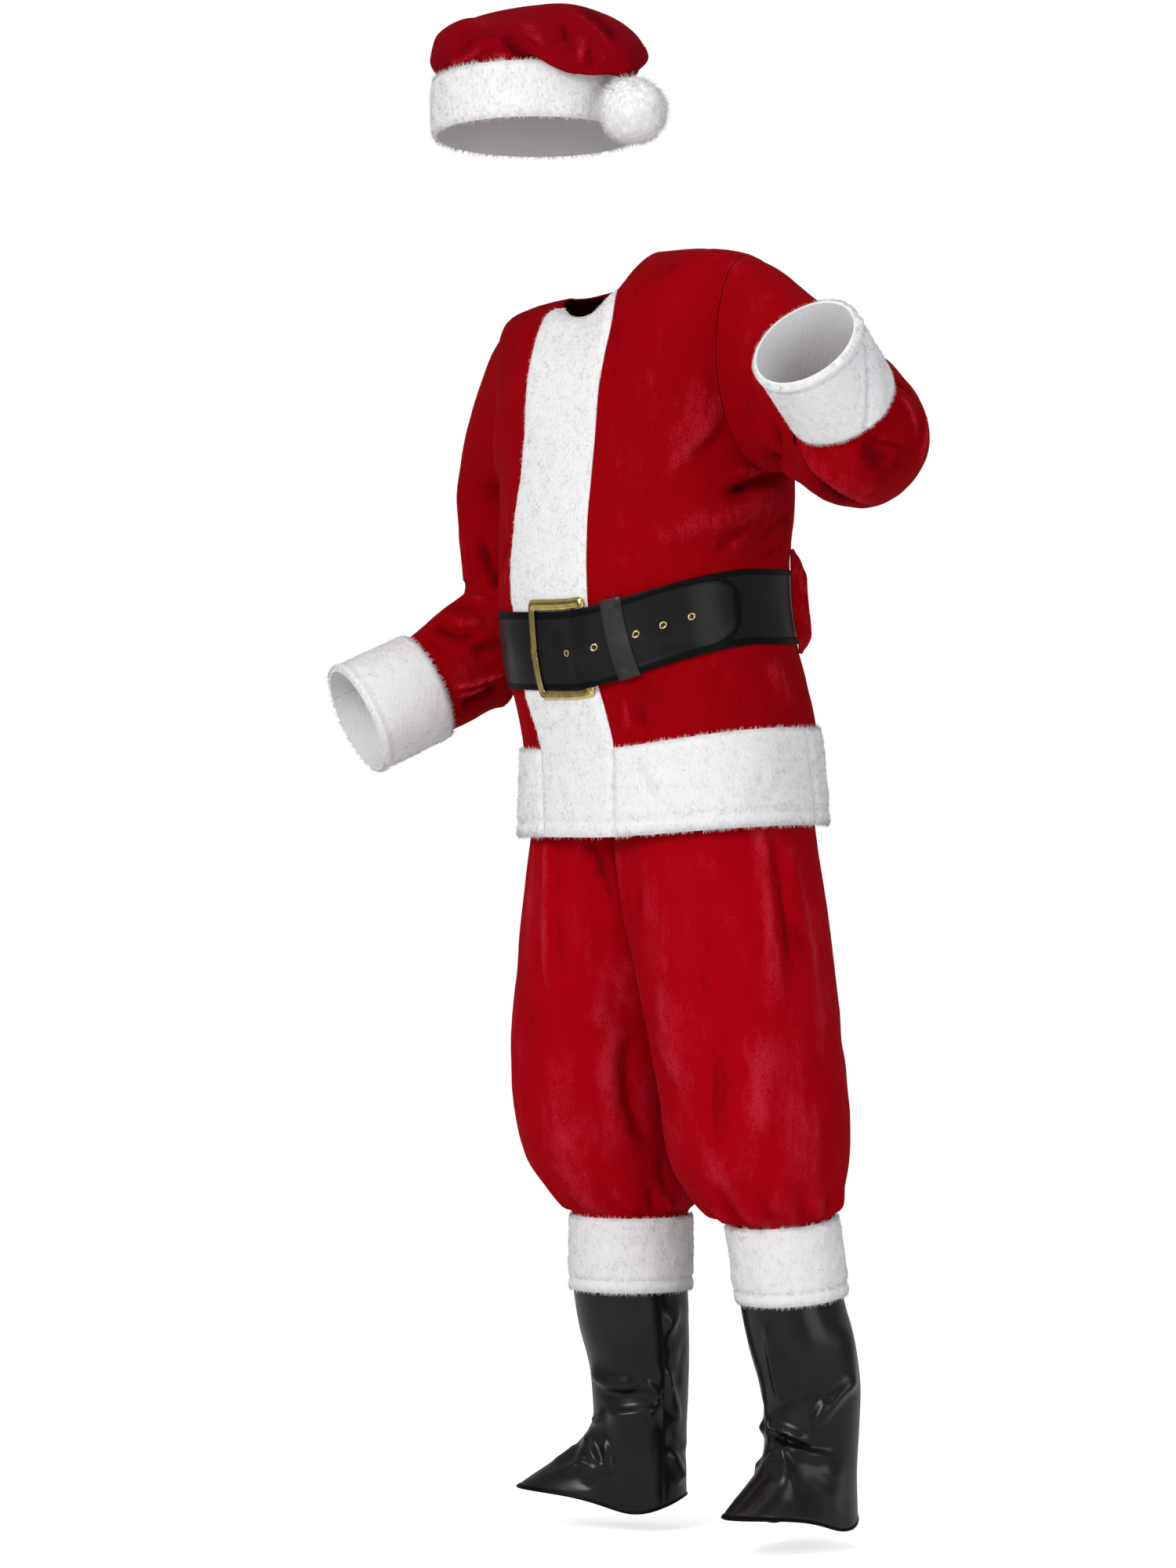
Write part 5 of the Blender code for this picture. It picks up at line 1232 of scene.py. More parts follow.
def make_sleeves():
    """Two sleeves, set into the armholes, with the folds of bent elbows."""
    steps = settings().plush.sleeve_steps
    turn = ring_turn(steps)
    for side, sign in SIDES:
        last = len(SLEEVE_ROWS[side]) - 1
        along = np.linspace(0.14, last, round(steps * last / 8))
        stations = np.concatenate([np.linspace(0, 0.14, 4)[:-1], along])
        grid, middles = sleeve_grid(side, sign, stations, turn)
        grid = eased_along(grid, bump(stations - ELBOW[side], 1.0))
        normal = grid_normals(grid, middles)
        degrees = np.broadcast_to(np.degrees(turn), grid.shape[:2])
        from_seam = stations[:, None] * SLEEVE_STEP
        length = np.broadcast_to(from_seam, degrees.shape)
        folds = roughened(sleeve_field(SLEEVE_FOLDS[side], degrees, length), grid, "sleeve")
        free = smooth((SLEEVE_COVERED[side] - stations) / 0.45) * (0.1 + 0.9 * smooth(stations / 0.5))
        relief = FOLD_DEPTH["sleeve"] * settings().plush.folds * folds * free[:, None]
        relief = relief - 0.3 * bump(from_seam, 3.0)
        # The nap mark is painted light: the table's highlights and shade, a painted highlight along the seam,
        # and the folds' painted highlights and shade.
        nap = sleeve_field(SLEEVE_SHADING[side], degrees, length)
        nap = nap + 0.3 * bump(from_seam, 2.5) + fold_shade(relief)
        outer = grid + normal * relief[..., None]
        cloth("sleeve_" + side, "jacket_plush", (outer, outer - CLOTH * normal), {"nap": nap}, ring=True)


def cuff_lap(side, turn, share, radius, noise):
    """The height of the end that laps over on a cuff: a soft step up, a groove and a swell past it."""
    low, high, stands = CUFF_LAPS[side]
    past = (turn[None] - np.radians(low + (high - low) * share)) * radius
    step = 1.6 * smooth((past + 12) / 12) * (past < 0) - 2.8 * bump(past - 2.0, 3.2)
    return stands * (step + 3.0 * bump(past - 24, 16.0)) * noise


def make_sleeve_cuffs():
    """Two turned-back fur cuffs, each a band whose ends meet at a split on the outer side."""
    rows, columns = GRIDS["sleeve_cuff"]
    tufts, fibres = FUR_SEEDS["sleeve_cuff"]
    for number, (side, (start, rim, radius, rim_radius, split_way)) in enumerate(CUFFS.items()):
        start = np.array(start)
        rim = np.array(rim)
        way = unit(rim - start)
        length = float(np.linalg.norm(rim - start))
        split = unit(np.array(split_way) - way * np.dot(split_way, way))
        other = np.cross(way, split)
        half_gap = SPLIT_GAP / 2 / radius
        turn = np.linspace(half_gap, 2 * np.pi - half_gap, columns)
        ring = np.cos(turn)[:, None] * split + np.sin(turn)[:, None] * other
        share = np.linspace(0, 1, rows)[:, None, None]
        inner = start * (1 - share) + rim * share + ring[None] * (radius * (1 - share) + rim_radius * share)
        along = share[..., 0] * length
        from_rim = length - along
        to_split = np.minimum(turn - turn[0], turn[-1] - turn)[None] * radius
        thickness = BAND_FUR * plump(along, 8.0, 0.3) * plump(to_split, 5.0, 0.35)
        thickness = thickness * plump(from_rim, 6.0, 0.5) + 1.6 * bump(from_rim - 6.0, 5.0)
        thickness = thickness - 1.6 * bump(from_rim - CUFF_ROLL, 2.6) + 0.5 * tufted(inner, tufts)
        lap = cuff_lap(side, turn, share[..., 0], radius, rolled(along, 6.0) * rolled(from_rim, 8.0))
        thickness = roughened(thickness + lap, inner, "sleeve_cuff")
        normal = np.broadcast_to(ring[None], inner.shape)
        outer = inner + normal * np.maximum(thickness, LEAST_FUR)[..., None]
        lean = np.broadcast_to(0.35 * bump(from_rim, 8.0), outer.shape[:2])
        trim(
            "sleeve_cuff_" + side, (outer, inner), unit(normal + way * lean[..., None]), fibres + 10 * number,
            lay=way, lean=0.26, ends=two_ends(along, from_rim) + 0 * outer[..., 0])


def make_belt_loops():
    """A strip of the jacket's cloth on each side, sewn above and below the belt and twisted between.

    Its distance from the body grows across it by its half-width times the sine of the twist, and
    the angle that it takes up shrinks by the cosine. Each row is eased over the table's corners.
    """
    heights, distances, twists = np.array(LOOP_ROWS).T
    fine = np.linspace(heights[0], heights[-1], GRIDS["loop"][0])
    ease = np.linspace(-5, 5, 5)[:, None] * smooth(np.minimum(heights[0] - fine, fine - heights[-1]) / 8)
    distance, twist = [
        np.interp(-(fine + ease), -heights, values).mean(axis=0)[:, None] for values in (distances, twists)]
    twist = np.radians(twist)
    rows = body_row(BELT_MID + fine)
    across = np.linspace(-1, 1, GRIDS["loop"][1])
    lift = distance + LOOP_HALF_WIDTH * np.sin(twist) * across
    for side, sign in SIDES:
        columns = sign * np.radians(LOOP_ANGLE + LOOP_HALF_ANGLE * np.cos(twist) * across)
        places = np.broadcast_to(rows[:, None], columns.shape)
        inner = moved_out(body_surface, columns, places, lift)
        normal = unit(np.cross(np.gradient(inner, axis=1), np.gradient(inner, axis=0)))
        outward = np.sum(normal * inner * (1, 1, 0), axis=-1)[..., None] > 0
        normal = np.where(outward, normal, -normal)
        crown = roughened(0.9 * rolled((1 - np.abs(across)) * LOOP_HALF_WIDTH, 5.0), inner, "loop")
        outer = inner + normal * (CLOTH - 0.6 + crown)[..., None]
        nap = roughened(0.35, inner, "loop_nap")
        cloth("belt_loop_" + side, "jacket_plush", (outer, inner), {"nap": nap})


# ---------------------------------------------------------------- belt

def strap_lift(degrees):
    """The distance of the strap's inner face from the body, eased over the table's corners.

    It is the mean of the table's straight runs at five places one degree round each angle.
    """
    angles, lifts = np.array(STRAP_LIFT).T
    return sum(np.interp(degrees + shift, angles, lifts) for shift in (-1.0, -0.5, 0.0, 0.5, 1.0)) / 5


def rows_per_mm():
    """Body rows for a millimetre of height at the belt."""
    return (body_row(BELT_HIGH) - body_row(BELT_LOW)) / (BELT_HIGH - BELT_LOW)


def make_strap():
    """The strap, one long band in a turn and a fifth round the body, bound along its edges."""
    degrees = np.linspace(STRAP_START, TIP_END, GRIDS["strap"][1])
    tip = np.clip((degrees - TIP_START) / (TIP_END + 0.5 - TIP_START), 0.0, 1.0)
    share = np.sqrt(1 - tip ** 2)
    half = (BELT_HIGH - BELT_LOW) / 2
    binding, inside = 1 - BINDING / half, 1 - (BINDING + 1) / half
    across = np.concatenate([
        np.linspace(-1, -binding, 5), np.linspace(-inside, inside, 13), np.linspace(binding, 1, 5)])
    middle, low, high = body_row(BELT_MID), body_row(BELT_LOW), body_row(BELT_HIGH)
    reach = np.where(across < 0, middle - low, high - middle)
    places = middle + (across * reach)[:, None] * share[None]
    columns = np.broadcast_to(np.radians(degrees), places.shape)
    lift = np.broadcast_to(strap_lift(degrees), places.shape)
    to_edge = (1 - np.abs(across))[:, None] * half * share[None]
    to_tip = np.maximum((TIP_END - degrees) * STRAP_DEGREE, 0.0)[None]
    edge = np.minimum(to_edge, to_tip + 0 * to_edge)
    bound = 1 - smooth((edge - BINDING) / 0.6)
    raised = 0.25 * bound * rolled(edge, 2.0) - 0.35 * bump(edge - BINDING - 0.4, 0.9)
    raised = raised - 0.3 * (1 - rolled(edge, 1.2))
    base, normal = spread(body_surface, columns, places)
    wave = roughened(0.0, base, "strap") * smooth((edge - BINDING) / 14)
    wave = wave * np.where(degrees > STRAP_TURN, 0.6, 1.0)
    high = lift + STRAP - 0.15 + raised + wave * (1 - bound)
    cloth(
        "belt_strap", "strap", wall(base, normal, lift, high), {"bound": bound},
        extra=lambda: make_strap_stitches(degrees, share))


def make_strap_stitches(degrees, share):
    """Short stitches along the inner side of both bound edges, a small closed bead for each."""
    places = np.arange(STRAP_START + 2.0, TIP_START + 8.0, STITCH_STEP)
    half = (BELT_HIGH - BELT_LOW) / 2 * np.interp(places, degrees, share) - BINDING + 1.2
    flat = np.concatenate([np.stack([places, sign * half], -1) for sign in (-1.0, 1.0)])
    return small_beads("belt_stitches", flat, length=2.6, width=0.8, height=0.22)


def small_beads(name, flat, length, width, height):
    """Low closed beads on the strap, at angles along it and heights from its middle.

    Each is a flat six-sided ring and a ridge above it, laid along the strap.
    """
    ring = np.array([(-0.5, 0.0), (-0.3, -0.5), (0.3, -0.5), (0.5, 0.0), (0.3, 0.5), (-0.3, 0.5)])
    top = np.array([(-0.25, 0.0), (0.25, 0.0)])
    spots = np.concatenate([ring, top, [(0.0, 0.0)]])
    lifts = np.array([0.0] * 6 + [height] * 2 + [-0.2])
    degrees = flat[:, :1] + np.degrees(spots[None, :, 0] * length / (BODY_RADIUS - 6))
    heights = flat[:, 1:] + spots[None, :, 1] * width
    columns = np.radians(degrees)
    places = body_row(BELT_MID) + heights * rows_per_mm()
    lift = strap_lift(degrees) + STRAP + 0.02 + lifts[None]
    points = moved_out(body_surface, columns, places, lift)
    faces = np.array([
        (0, 1, 6), (1, 7, 6), (1, 2, 7), (2, 3, 7), (3, 4, 7), (4, 6, 7), (4, 5, 6), (5, 0, 6),
        (1, 0, 8), (2, 1, 8), (3, 2, 8), (4, 3, 8), (5, 4, 8), (0, 5, 8),
    ])
    triangles = (9 * np.arange(len(flat))[:, None, None] + faces[None]).reshape(-1, 3)
    return add_piece(name, points, (), triangles, "thread", sharp=0.0)


def frame_outline(half_length, half_height, corner, steps=12):
    """A rectangle with round corners, from the middle of its top edge and back to it."""
    bend = np.radians(np.linspace(0, 90, 7))
    along = np.linspace(0, half_length - corner, steps)[:-1]
    top = np.stack([along, half_height + 0 * along], -1)
    turned = np.stack([
        half_length - corner + corner * np.sin(bend), half_height - corner + corner * np.cos(bend),
    ], -1)
    down = np.linspace(half_height - corner, 0, steps + 4)[1:]
    quarter = np.concatenate([top, turned, np.stack([half_length + 0 * down, down], -1)])
    half = np.concatenate([quarter, quarter[-2::-1] * (1, -1)])
    return np.concatenate([half, half[-2:0:-1] * (-1, 1)])


def make_buckle():
    """The buckle's frame: its bar's section carried round a rectangle that follows the belly."""
    insets, heights = np.array(BAR_SECTION).T
    last = insets[-1]
    rings = np.stack([
        frame_outline(
            BUCKLE_HALF_LENGTH - inset, BUCKLE_HALF_HEIGHT - inset,
            BUCKLE_CORNER * (1 - 0.667 * inset / last))
        for inset in insets
    ])
    lift = np.broadcast_to(heights[:, None], rings.shape[:2]).copy()
    notch = np.maximum(bump(rings[..., 1] - 3.2, 1.3), bump(rings[..., 1] + 3.2, 1.3))
    top = (heights[:, None] > 1.0) & (heights[:, None] < 3.0)
    lift += np.where(rings[..., 0] < 0, 0.7, 0.0) * notch * top
    columns = np.radians(BUCKLE_ANGLE) + rings[..., 0] / FRONT_RADIUS
    places = body_row(BELT_MID) + rings[..., 1] * rows_per_mm()
    grid = moved_out(body_surface, columns, places, BUCKLE_INNER + lift)
    quads = grid_quads(ring_numbers(*grid.shape[:2], both=True))
    # The dark marks on the bar are painted shade and reflection, mixed towards a dark gold in the finish.
    shade = roughened(np.broadcast_to(np.array(BAR_SHADES)[:, None], rings.shape[:2]), grid, "buckle")
    marks = {"hole_and_painted_shade": np.clip(shade, 0.0, 1.0)}
    piece = add_piece("buckle_frame", grid, quads, (), "buckle_gold", marks, sharp=28.0)
    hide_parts("belt_buckle")


def make_keeper():
    """A narrow soft band round the overlapped strap, which laps over each of its edges."""
    count, across = GRIDS["keeper"]
    columns = np.radians(np.linspace(*KEEPER_ANGLES, across))
    low = BELT_LOW - BELT_MID
    high = BELT_HIGH - BELT_MID
    near, past = KEEPER_LIP
    heights = np.concatenate([
        [low - KEEPER_PAST, low - past], np.linspace(low - near, high + near, count),
        [high + past, high + KEEPER_PAST]])
    lips = np.concatenate([[1.0, 1.0], np.zeros(count), [1.0, 1.0]])[:, None]
    places = (body_row(BELT_MID) + heights * rows_per_mm())[:, None] + 0 * columns
    edge = np.minimum(columns - columns[0], columns[-1] - columns) * FRONT_RADIUS
    edge = np.broadcast_to(edge, places.shape)
    columns = columns - np.radians(KEEPER_SLANT) * (heights / high)[:, None]
    over = strap_lift(STRAP_TURN + np.degrees(columns)) + STRAP + KEEPER_GAP
    inner = moved_out(body_surface, columns, places, over - lips * (STRAP + KEEPER_GAP))
    soft = roughened(0.0, inner, "keeper") * smooth(edge / 3) * (1 - lips)
    thick = KEEPER_THICK - 0.5 * (1 - rolled(edge, 2.5)) + soft
    outer = moved_out(body_surface, columns, places, over + np.maximum(thick, 0.7))
    cloth("belt_keeper", "keeper", (outer, inner))


def make_eyelets():
    """Five brass rings along the strap's middle, each a round section turned about its opening."""
    turn = ring_turn(28)
    bend = np.radians(np.linspace(-20, 200, 9))
    wire = EYELET_RING + EYELET_WIRE * np.cos(bend)
    radii = np.concatenate([wire, [EYELET_FLOOR, 0.2, 0.2, EYELET_RING + EYELET_WIRE]])
    lifts = np.concatenate([0.35 + 0.85 * np.maximum(np.sin(bend), -0.4), [0.08, 0.08, 0.0, 0.0]])
    grids = []
    for degrees in EYELET_ANGLES:
        spot = body_surface(np.radians([degrees]), np.array([body_row(BELT_MID)]))[0]
        columns = np.radians(degrees) + radii[:, None] * np.cos(turn) / np.linalg.norm(spot[:2])
        places = body_row(BELT_MID) + radii[:, None] * np.sin(turn) * rows_per_mm()
        lift = strap_lift(STRAP_TURN + np.degrees(columns)) + STRAP + 0.25 + lifts[:, None]
        grids.append(moved_out(body_surface, columns, places, lift))
    rows, sides = grids[0].shape[:2]
    quads = grid_quads(ring_numbers(rows, sides, both=True))
    quads = np.concatenate([quads + rows * sides * index for index in range(len(grids))])
    hole_and_painted_shade = np.broadcast_to((radii < EYELET_RING - EYELET_WIRE * 0.9)[:, None], (rows, sides))
    marks = {"hole_and_painted_shade": np.tile(hole_and_painted_shade.ravel(), len(grids))}
    piece = add_piece("eyelets", np.concatenate(grids), quads, (), "eyelet_brass", marks, sharp=0.0)
    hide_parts(*["belt_eyelet_%d" % number for number in range(1, len(EYELET_ANGLES) + 1)])


# ---------------------------------------------------------------- breeches

def leg_table(side):
    """Rows of a whole leg: level, middle x and y, half-width, depth, slope, offset of the oval."""
    sign = dict(SIDES)[side]
    rows = [
        (level, x + sign * offset, y, wide, depth, 0.0, offset)
        for level, x, y, offset, wide, depth in SEAT_ROWS]
    return rows + [(*row, row[3] + LEG_APART) for row in LEG_ROWS[side]]


def leg_surface(side):
    """A leg's inner face as a function of the share round it and the row number.

    The share runs 0 to 1 from the front inner edge to the side seam and on to 2 at the back edge.
    Above the fork a leg is the part of an oval outside the middle plane.
    """
    sign = dict(SIDES)[side]
    table = leg_table(side)

    def surface(share, row):
        """The angle is an even run between the edges, its sine across and its cosine in depth."""
        level, x, y, wide, depth, slope, offset = np.moveaxis(read_rows(table, row), -1, 0)
        inner = -np.arcsin(np.clip(offset / wide, -1.0, 1.0))
        front = inner + share * (np.pi / 2 - inner)
        back = np.pi / 2 + (share - 1) * (np.pi / 2 - inner)
        angle = np.where(share < 1, front, back)
        behind = -depth * np.cos(angle)
        return np.stack([x + sign * wide * np.sin(angle), y + behind, level + slope * behind], -1)

    return surface


def leg_row(side, level):
    """The row number of a level on a leg."""
    table = leg_table(side)
    rows = np.linspace(0, len(table) - 1, READ_STEPS)
    return np.interp(-np.asarray(level), -read_rows(table, rows)[:, 0], rows)


def leg_gathers(side, share, level):
    """Short folds that fan up from the cuff: each leans, is widest at the cuff and fades upwards."""
    total = np.zeros(share.shape)
    foot = LEG_CUFFS[side][0][2] + 6
    for place, leaning, reach, height, width in LEG_GATHERS[side]:
        up = (level - foot) / reach
        middle = place + leaning * np.clip(up, 0, 1) ** 1.5
        away = ((share - middle + 1) % 2 - 1) * LEG_ROUND
        wide = width * (0.7 + 0.8 * np.clip(up, 0, 1))
        total += height * bump(away, wide) * smooth(1 - up) * smooth((up + 0.12) / 0.2)
    return total


def kept_apart(sign, rows, skin):
    """Points of a leg, kept half a seam's gap off the middle plane above the fork."""
    middle = read_rows(SEAT_ROWS, np.minimum(rows, len(SEAT_ROWS) - 1))[:, 1, None]
    skin[..., 0] = middle + sign * np.maximum(sign * (skin[..., 0] - middle), SEAM_GAP / 2)
    return skin


def leg_relief(side, share, level, base):
    """The folds of a leg: the table's, the gathers' and soft noise drawn out along the leg."""
    folds = flat_folds(LEG_FOLDS[side], share, level, LEG_ROUND, 2.0) + leg_gathers(side, share, level)
    return FOLD_DEPTH["leg"] * settings().plush.folds * roughened(folds, base, "leg")


def make_breeches():
    """A front and a back for each leg, with the long folds of a loose leg gathered at the knee."""
    steps = settings().plush.leg_steps
    edge = SEAM_GAP / 2 / LEG_ROUND
    shares = edged(round(steps * 0.5))
    for side, sign in SIDES:
        surface = leg_surface(side)
        cuff = LEG_CUFFS[side][0][2]
        levels = np.concatenate([
            np.linspace(WAISTBAND_LEVEL, KNEE, round(steps * 0.78))[:-1],
            np.linspace(KNEE, LEG_ROWS[side][-1][0], round(steps * 0.32))])
        rows = leg_row(side, levels)
        for part, start, end in (("front", edge, 1 - edge), ("back", 1 + edge, 2 - edge)):
            share = start + (end - start) * np.broadcast_to(shares, (len(rows), len(shares)))
            level = np.broadcast_to(levels[:, None], share.shape)
            base, normal = spread(surface, share, rows[:, None])
            normal = -sign * normal
            to_edge = np.minimum(share - start, end - share) * LEG_ROUND
            to_middle = (share - start if start < 0.5 else end - share) * LEG_ROUND
            free = smooth((level - cuff - 5) / 12) * (1 - 0.85 * smooth((level - LEG_CALM) / 50))
            free_of_seam = np.clip(smooth(to_middle / 30) + smooth((LEG_INSEAM - level) / 60), 0.1, 1.0)
            relief = leg_relief(side, share, level, base) * free * free_of_seam
            relief = relief - 0.6 * bump(to_edge, 3.2) * smooth((level - cuff) / 10)
            # The nap mark: brushed nap and painted light from the table, a painted highlight along the seams,
            # and the folds' painted highlights and shade.
            nap = flat_folds(LEG_NAP_AND_SHADING[side], share, level, LEG_ROUND, 2.0)
            nap = nap + 0.28 * bump(to_edge, 2.2) + fold_shade(relief)
            faces = [kept_apart(sign, rows, skin) for skin in wall(base, normal, relief, CLOTH + relief)]
            cloth("breeches_%s_%s" % (part, side), "breeches_plush", faces, {"nap": nap})


def make_waistband():
    """The gathered band at the waist, one ring on the breeches' upper edge."""
    levels = np.linspace(WAISTBAND_TOP, WAISTBAND_LEVEL + WAISTBAND_GAP, GRIDS["waistband"][0])
    share = np.broadcast_to(np.linspace(0, 2, GRIDS["waistband"][1]), GRIDS["waistband"])
    rings = []
    for distance, gather in ((CLOTH + WAISTBAND_EXTRA, 0.6), (-WAISTBAND_EXTRA, 0.0)):
        halves = []
        for side, sign in SIDES:
            rows = leg_row(side, levels)
            away = distance + (gather * np.sin(share * WAISTBAND_GATHERS * np.pi) - gather)
            skin = moved_out(leg_surface(side), share, rows[:, None] + 0 * share, -sign * away)
            halves.append(kept_apart(sign, rows, skin))
        ring = np.concatenate([halves[0][:, 1:-1], halves[1][:, -2:0:-1]], axis=1)
        ring[..., 2] = levels[:, None]
        rings.append(ring)
    cloth("breeches_waistband", "breeches_plush", rings, {"nap": np.zeros(rings[0].shape[:2])}, ring=True)


def make_leg_cuffs():
    """Two fur cuffs over the gathered ends of the legs, turned under at a line of stitches."""
    rows, columns = GRIDS["leg_cuff"]
    tufts, fibres = FUR_SEEDS["leg_cuff"]
    turn = ring_turn(columns)
    share = np.linspace(0, 1, rows)[:, None]
    for number, (side, (top, low, radius, slope)) in enumerate(LEG_CUFFS.items()):
        middle = np.array(top) * (1 - share) + np.array(low) * share
        length = top[2] - low[2]
        down = share * length + 0 * turn
        spoke = np.stack([np.sin(turn), -np.cos(turn), -slope * np.cos(turn)], -1)[None]
        inner = middle[:, None, :] + spoke * radius
        thickness = LEG_CUFF_FUR * plump(np.minimum(down, length - down), 8.0, 0.3)
        thickness = thickness - 2.3 * bump(length - down - CUFF_STITCH, 2.8)
        thickness = roughened(thickness, inner, "leg_cuff") + tufted(inner, tufts)
        outer = inner + spoke * np.maximum(thickness, LEAST_FUR)[..., None]
        trim(
            "leg_cuff_" + side, (outer, inner), np.broadcast_to(unit(spoke), outer.shape),
            fibres + 10 * number, lean=0.26, ends=two_ends(down, length - down), ring=True)


# ---------------------------------------------------------------- boot covers

def boot_surface(side):
    """A boot cover's inner face: an oval at each level, drawn out to the toe, whose ring rises there."""
    (ankle_x, ankle_y), toe, top_shift, slim = BOOTS[side]
    toe = unit(toe)
    across = np.array([-toe[1], toe[0]])

    def surface(angle, row):
        """An oval turned to face the toe, its ring raised by the square of the angle's cosine."""
        level, shift, to_toe, to_heel, wide, up_toe, up_heel = np.moveaxis(read_rows(BOOT_ROWS, row), -1, 0)
        size = 1 - slim * shift
        side_way, back_way = oval(angle, wide * size, to_toe * size, to_heel * size, 2.0)
        ahead = np.cos(angle)
        rise = ahead ** 2 * np.where(ahead > 0, up_toe, up_heel)
        x = ankle_x + shift * top_shift[0] - back_way * toe[0] + side_way * across[0]
        y = ankle_y + shift * top_shift[1] - back_way * toe[1] + side_way * across[1]
        return np.stack([x, y, level + rise], -1)

    return surface


def boot_relief(side, part, columns, level, base, to_edge, to_hem):
    """The folds of a boot cover, which fade out under the cuff, at the hem and at the seams.

    The back panel is crushed down as well: a wave in its level, shifted and swelled by soft noise.
    """
    folds = flat_folds(BOOT_FOLDS[side], np.degrees(columns), level, np.radians(BOOT_RADIUS), 360.0)
    folds = roughened(folds, base, "boot")
    free = smooth((BOOT_COVERED - level) / 24) * (0.25 + 0.75 * smooth(to_hem / 22))
    free = free * (0.35 + 0.65 * smooth(to_edge / 9))
    relief = FOLD_DEPTH["boot"] * settings().leather.folds * folds * free - 0.7 * bump(to_edge, 2.6)
    if part == "front":
        return relief
    shift, swell = uneven(base, 40.0, BOOT_CRUSH[0]), uneven(base, 50.0, BOOT_CRUSH[1])
    ripple = np.sin(level / 15.0 + 4.0 * shift) * (0.5 + 0.7 * swell)
    return relief + 0.55 * ripple * smooth(to_edge / 5) * free


def make_boot_covers():
    """For each foot a panel round the front and one up the back, bound along the lower edge."""
    seam = np.radians(BOOT_SEAM)
    inset = SEAM_GAP / 2 / BOOT_RADIUS
    rows = np.concatenate([np.linspace(0, 2.4, 18)[:-1], np.linspace(2.4, 8.5, 84), np.linspace(8.6, 9.0, 8)])
    panels = (
        ("front", -seam + inset, seam - inset, 100),
        ("back", seam + inset, 2 * np.pi - seam - inset, 40))
    for side in BOOTS:
        surface = boot_surface(side)
        for part, start, end, steps in panels:
            columns = start + (end - start) * np.broadcast_to(edged(steps), (len(rows), len(edged(steps))))
            base, normal = spread(surface, columns, rows[:, None])
            if np.sum(normal * (base - base.mean(axis=1, keepdims=True))) < 0:
                normal = -normal
            level = read_rows(BOOT_ROWS, rows)[:, 0][:, None] + 0 * columns
            to_edge = np.minimum(columns - start, end - columns) * BOOT_RADIUS
            to_hem = (len(BOOT_ROWS) - 1 - rows)[:, None] * BOOT_STEP + 0 * columns
            relief = boot_relief(side, part, columns, level, base, to_edge, to_hem)
            bound = 1 - smooth((to_hem - BOOT_BINDING) / 0.8)
            lip = 0.7 * bound * rolled(to_hem + 0.4, 2.0) - 0.4 * bump(to_hem - BOOT_BINDING - 1, 1.2)
            faces = wall(base, normal, relief, VINYL + relief + lip)
            cloth("boot_cover_%s_%s" % (part, side), "vinyl", faces, {"bound": bound})


# ---------------------------------------------------------------- hat

def hat_point(along, across, up):
    """A place on the hat, from the middle of the brim's upper edge, with the hat's own slope."""
    way = unit(FLOP_WAY)
    x = way[0] * along - way[1] * across
    y = way[1] * along + way[0] * across
    z = up + HAT_SLOPE[0] * x + HAT_SLOPE[1] * y
    return np.stack([x, y, z], -1) + np.array(HAT_MIDDLE)


def crown_surface(angle, row):
    """The crown's outer face: ovals that fan out from the fold under the flop."""
    fold_a, fold_up, line_a, line_up, wide, droop = np.moveaxis(read_rows(CROWN_ROWS, row), -1, 0)
    share = (1 + np.cos(angle)) / 2
    along = line_a * share + fold_a * (1 - share)
    up = line_up * share + fold_up * (1 - share) - droop * np.maximum(-np.sin(angle), 0) ** 2
    return hat_point(along, wide * np.sin(angle), up)


def crown_field(folds, points):
    """The sum of a table of folds on the crown, by distance in space from each fold's line."""
    total = np.zeros(points.size // 3)
    spots = points.reshape(-1, 3)
    for *places, height, width in folds:
        line = through_three(np.array(places).reshape(3, 2))
        curve = crown_surface(np.radians(line[:, 0]), line[:, 1])
        total += one_fold(curve, spots, height, width, width)
    return total.reshape(points.shape[:-1])


def make_crown():
    """The plush crown, folded over to the side and closed at the tail's end, on the pom-pom."""
    columns = settings().plush.crown_steps
    stations = np.concatenate([np.linspace(0, 2, 14)[:-1], np.linspace(2, 9, round(columns * 0.5))])
    turn = np.broadcast_to(ring_turn(columns), (len(stations), columns))
    places = np.broadcast_to(stations[:, None], turn.shape)
    base = crown_surface(turn, places)
    normal = grid_normals(base, base.mean(axis=1))
    near_tail = smooth((8.6 - stations) / 1.2)[:, None]
    near_brim = smooth((stations - 0.75) / 0.5)[:, None]
    folds = roughened(crown_field(CROWN_FOLDS, base), base, "crown")
    under = smooth((stations - 4.0) / 1.2)[:, None] * smooth((268 - np.degrees(turn)) / 26)
    under = under * (turn > np.pi / 2)
    relief = FOLD_DEPTH["crown"] * settings().plush.folds * folds * near_tail * near_brim * (1 - 0.92 * under)
    thickness = np.minimum(CLOTH, 0.6 + 1.4 * near_tail)
    outer = base + normal * relief[..., None]
    # The nap mark: the table's patches and painted highlights, and the folds' painted highlights and shade.
    nap = crown_field(CROWN_NAP_AND_SHADING, base) + fold_shade(relief)
    faces = (outer, outer - normal * thickness[..., None])
    cloth("hat_crown", "hat_plush", faces, {"nap": nap}, ring=True, closed_end=True)


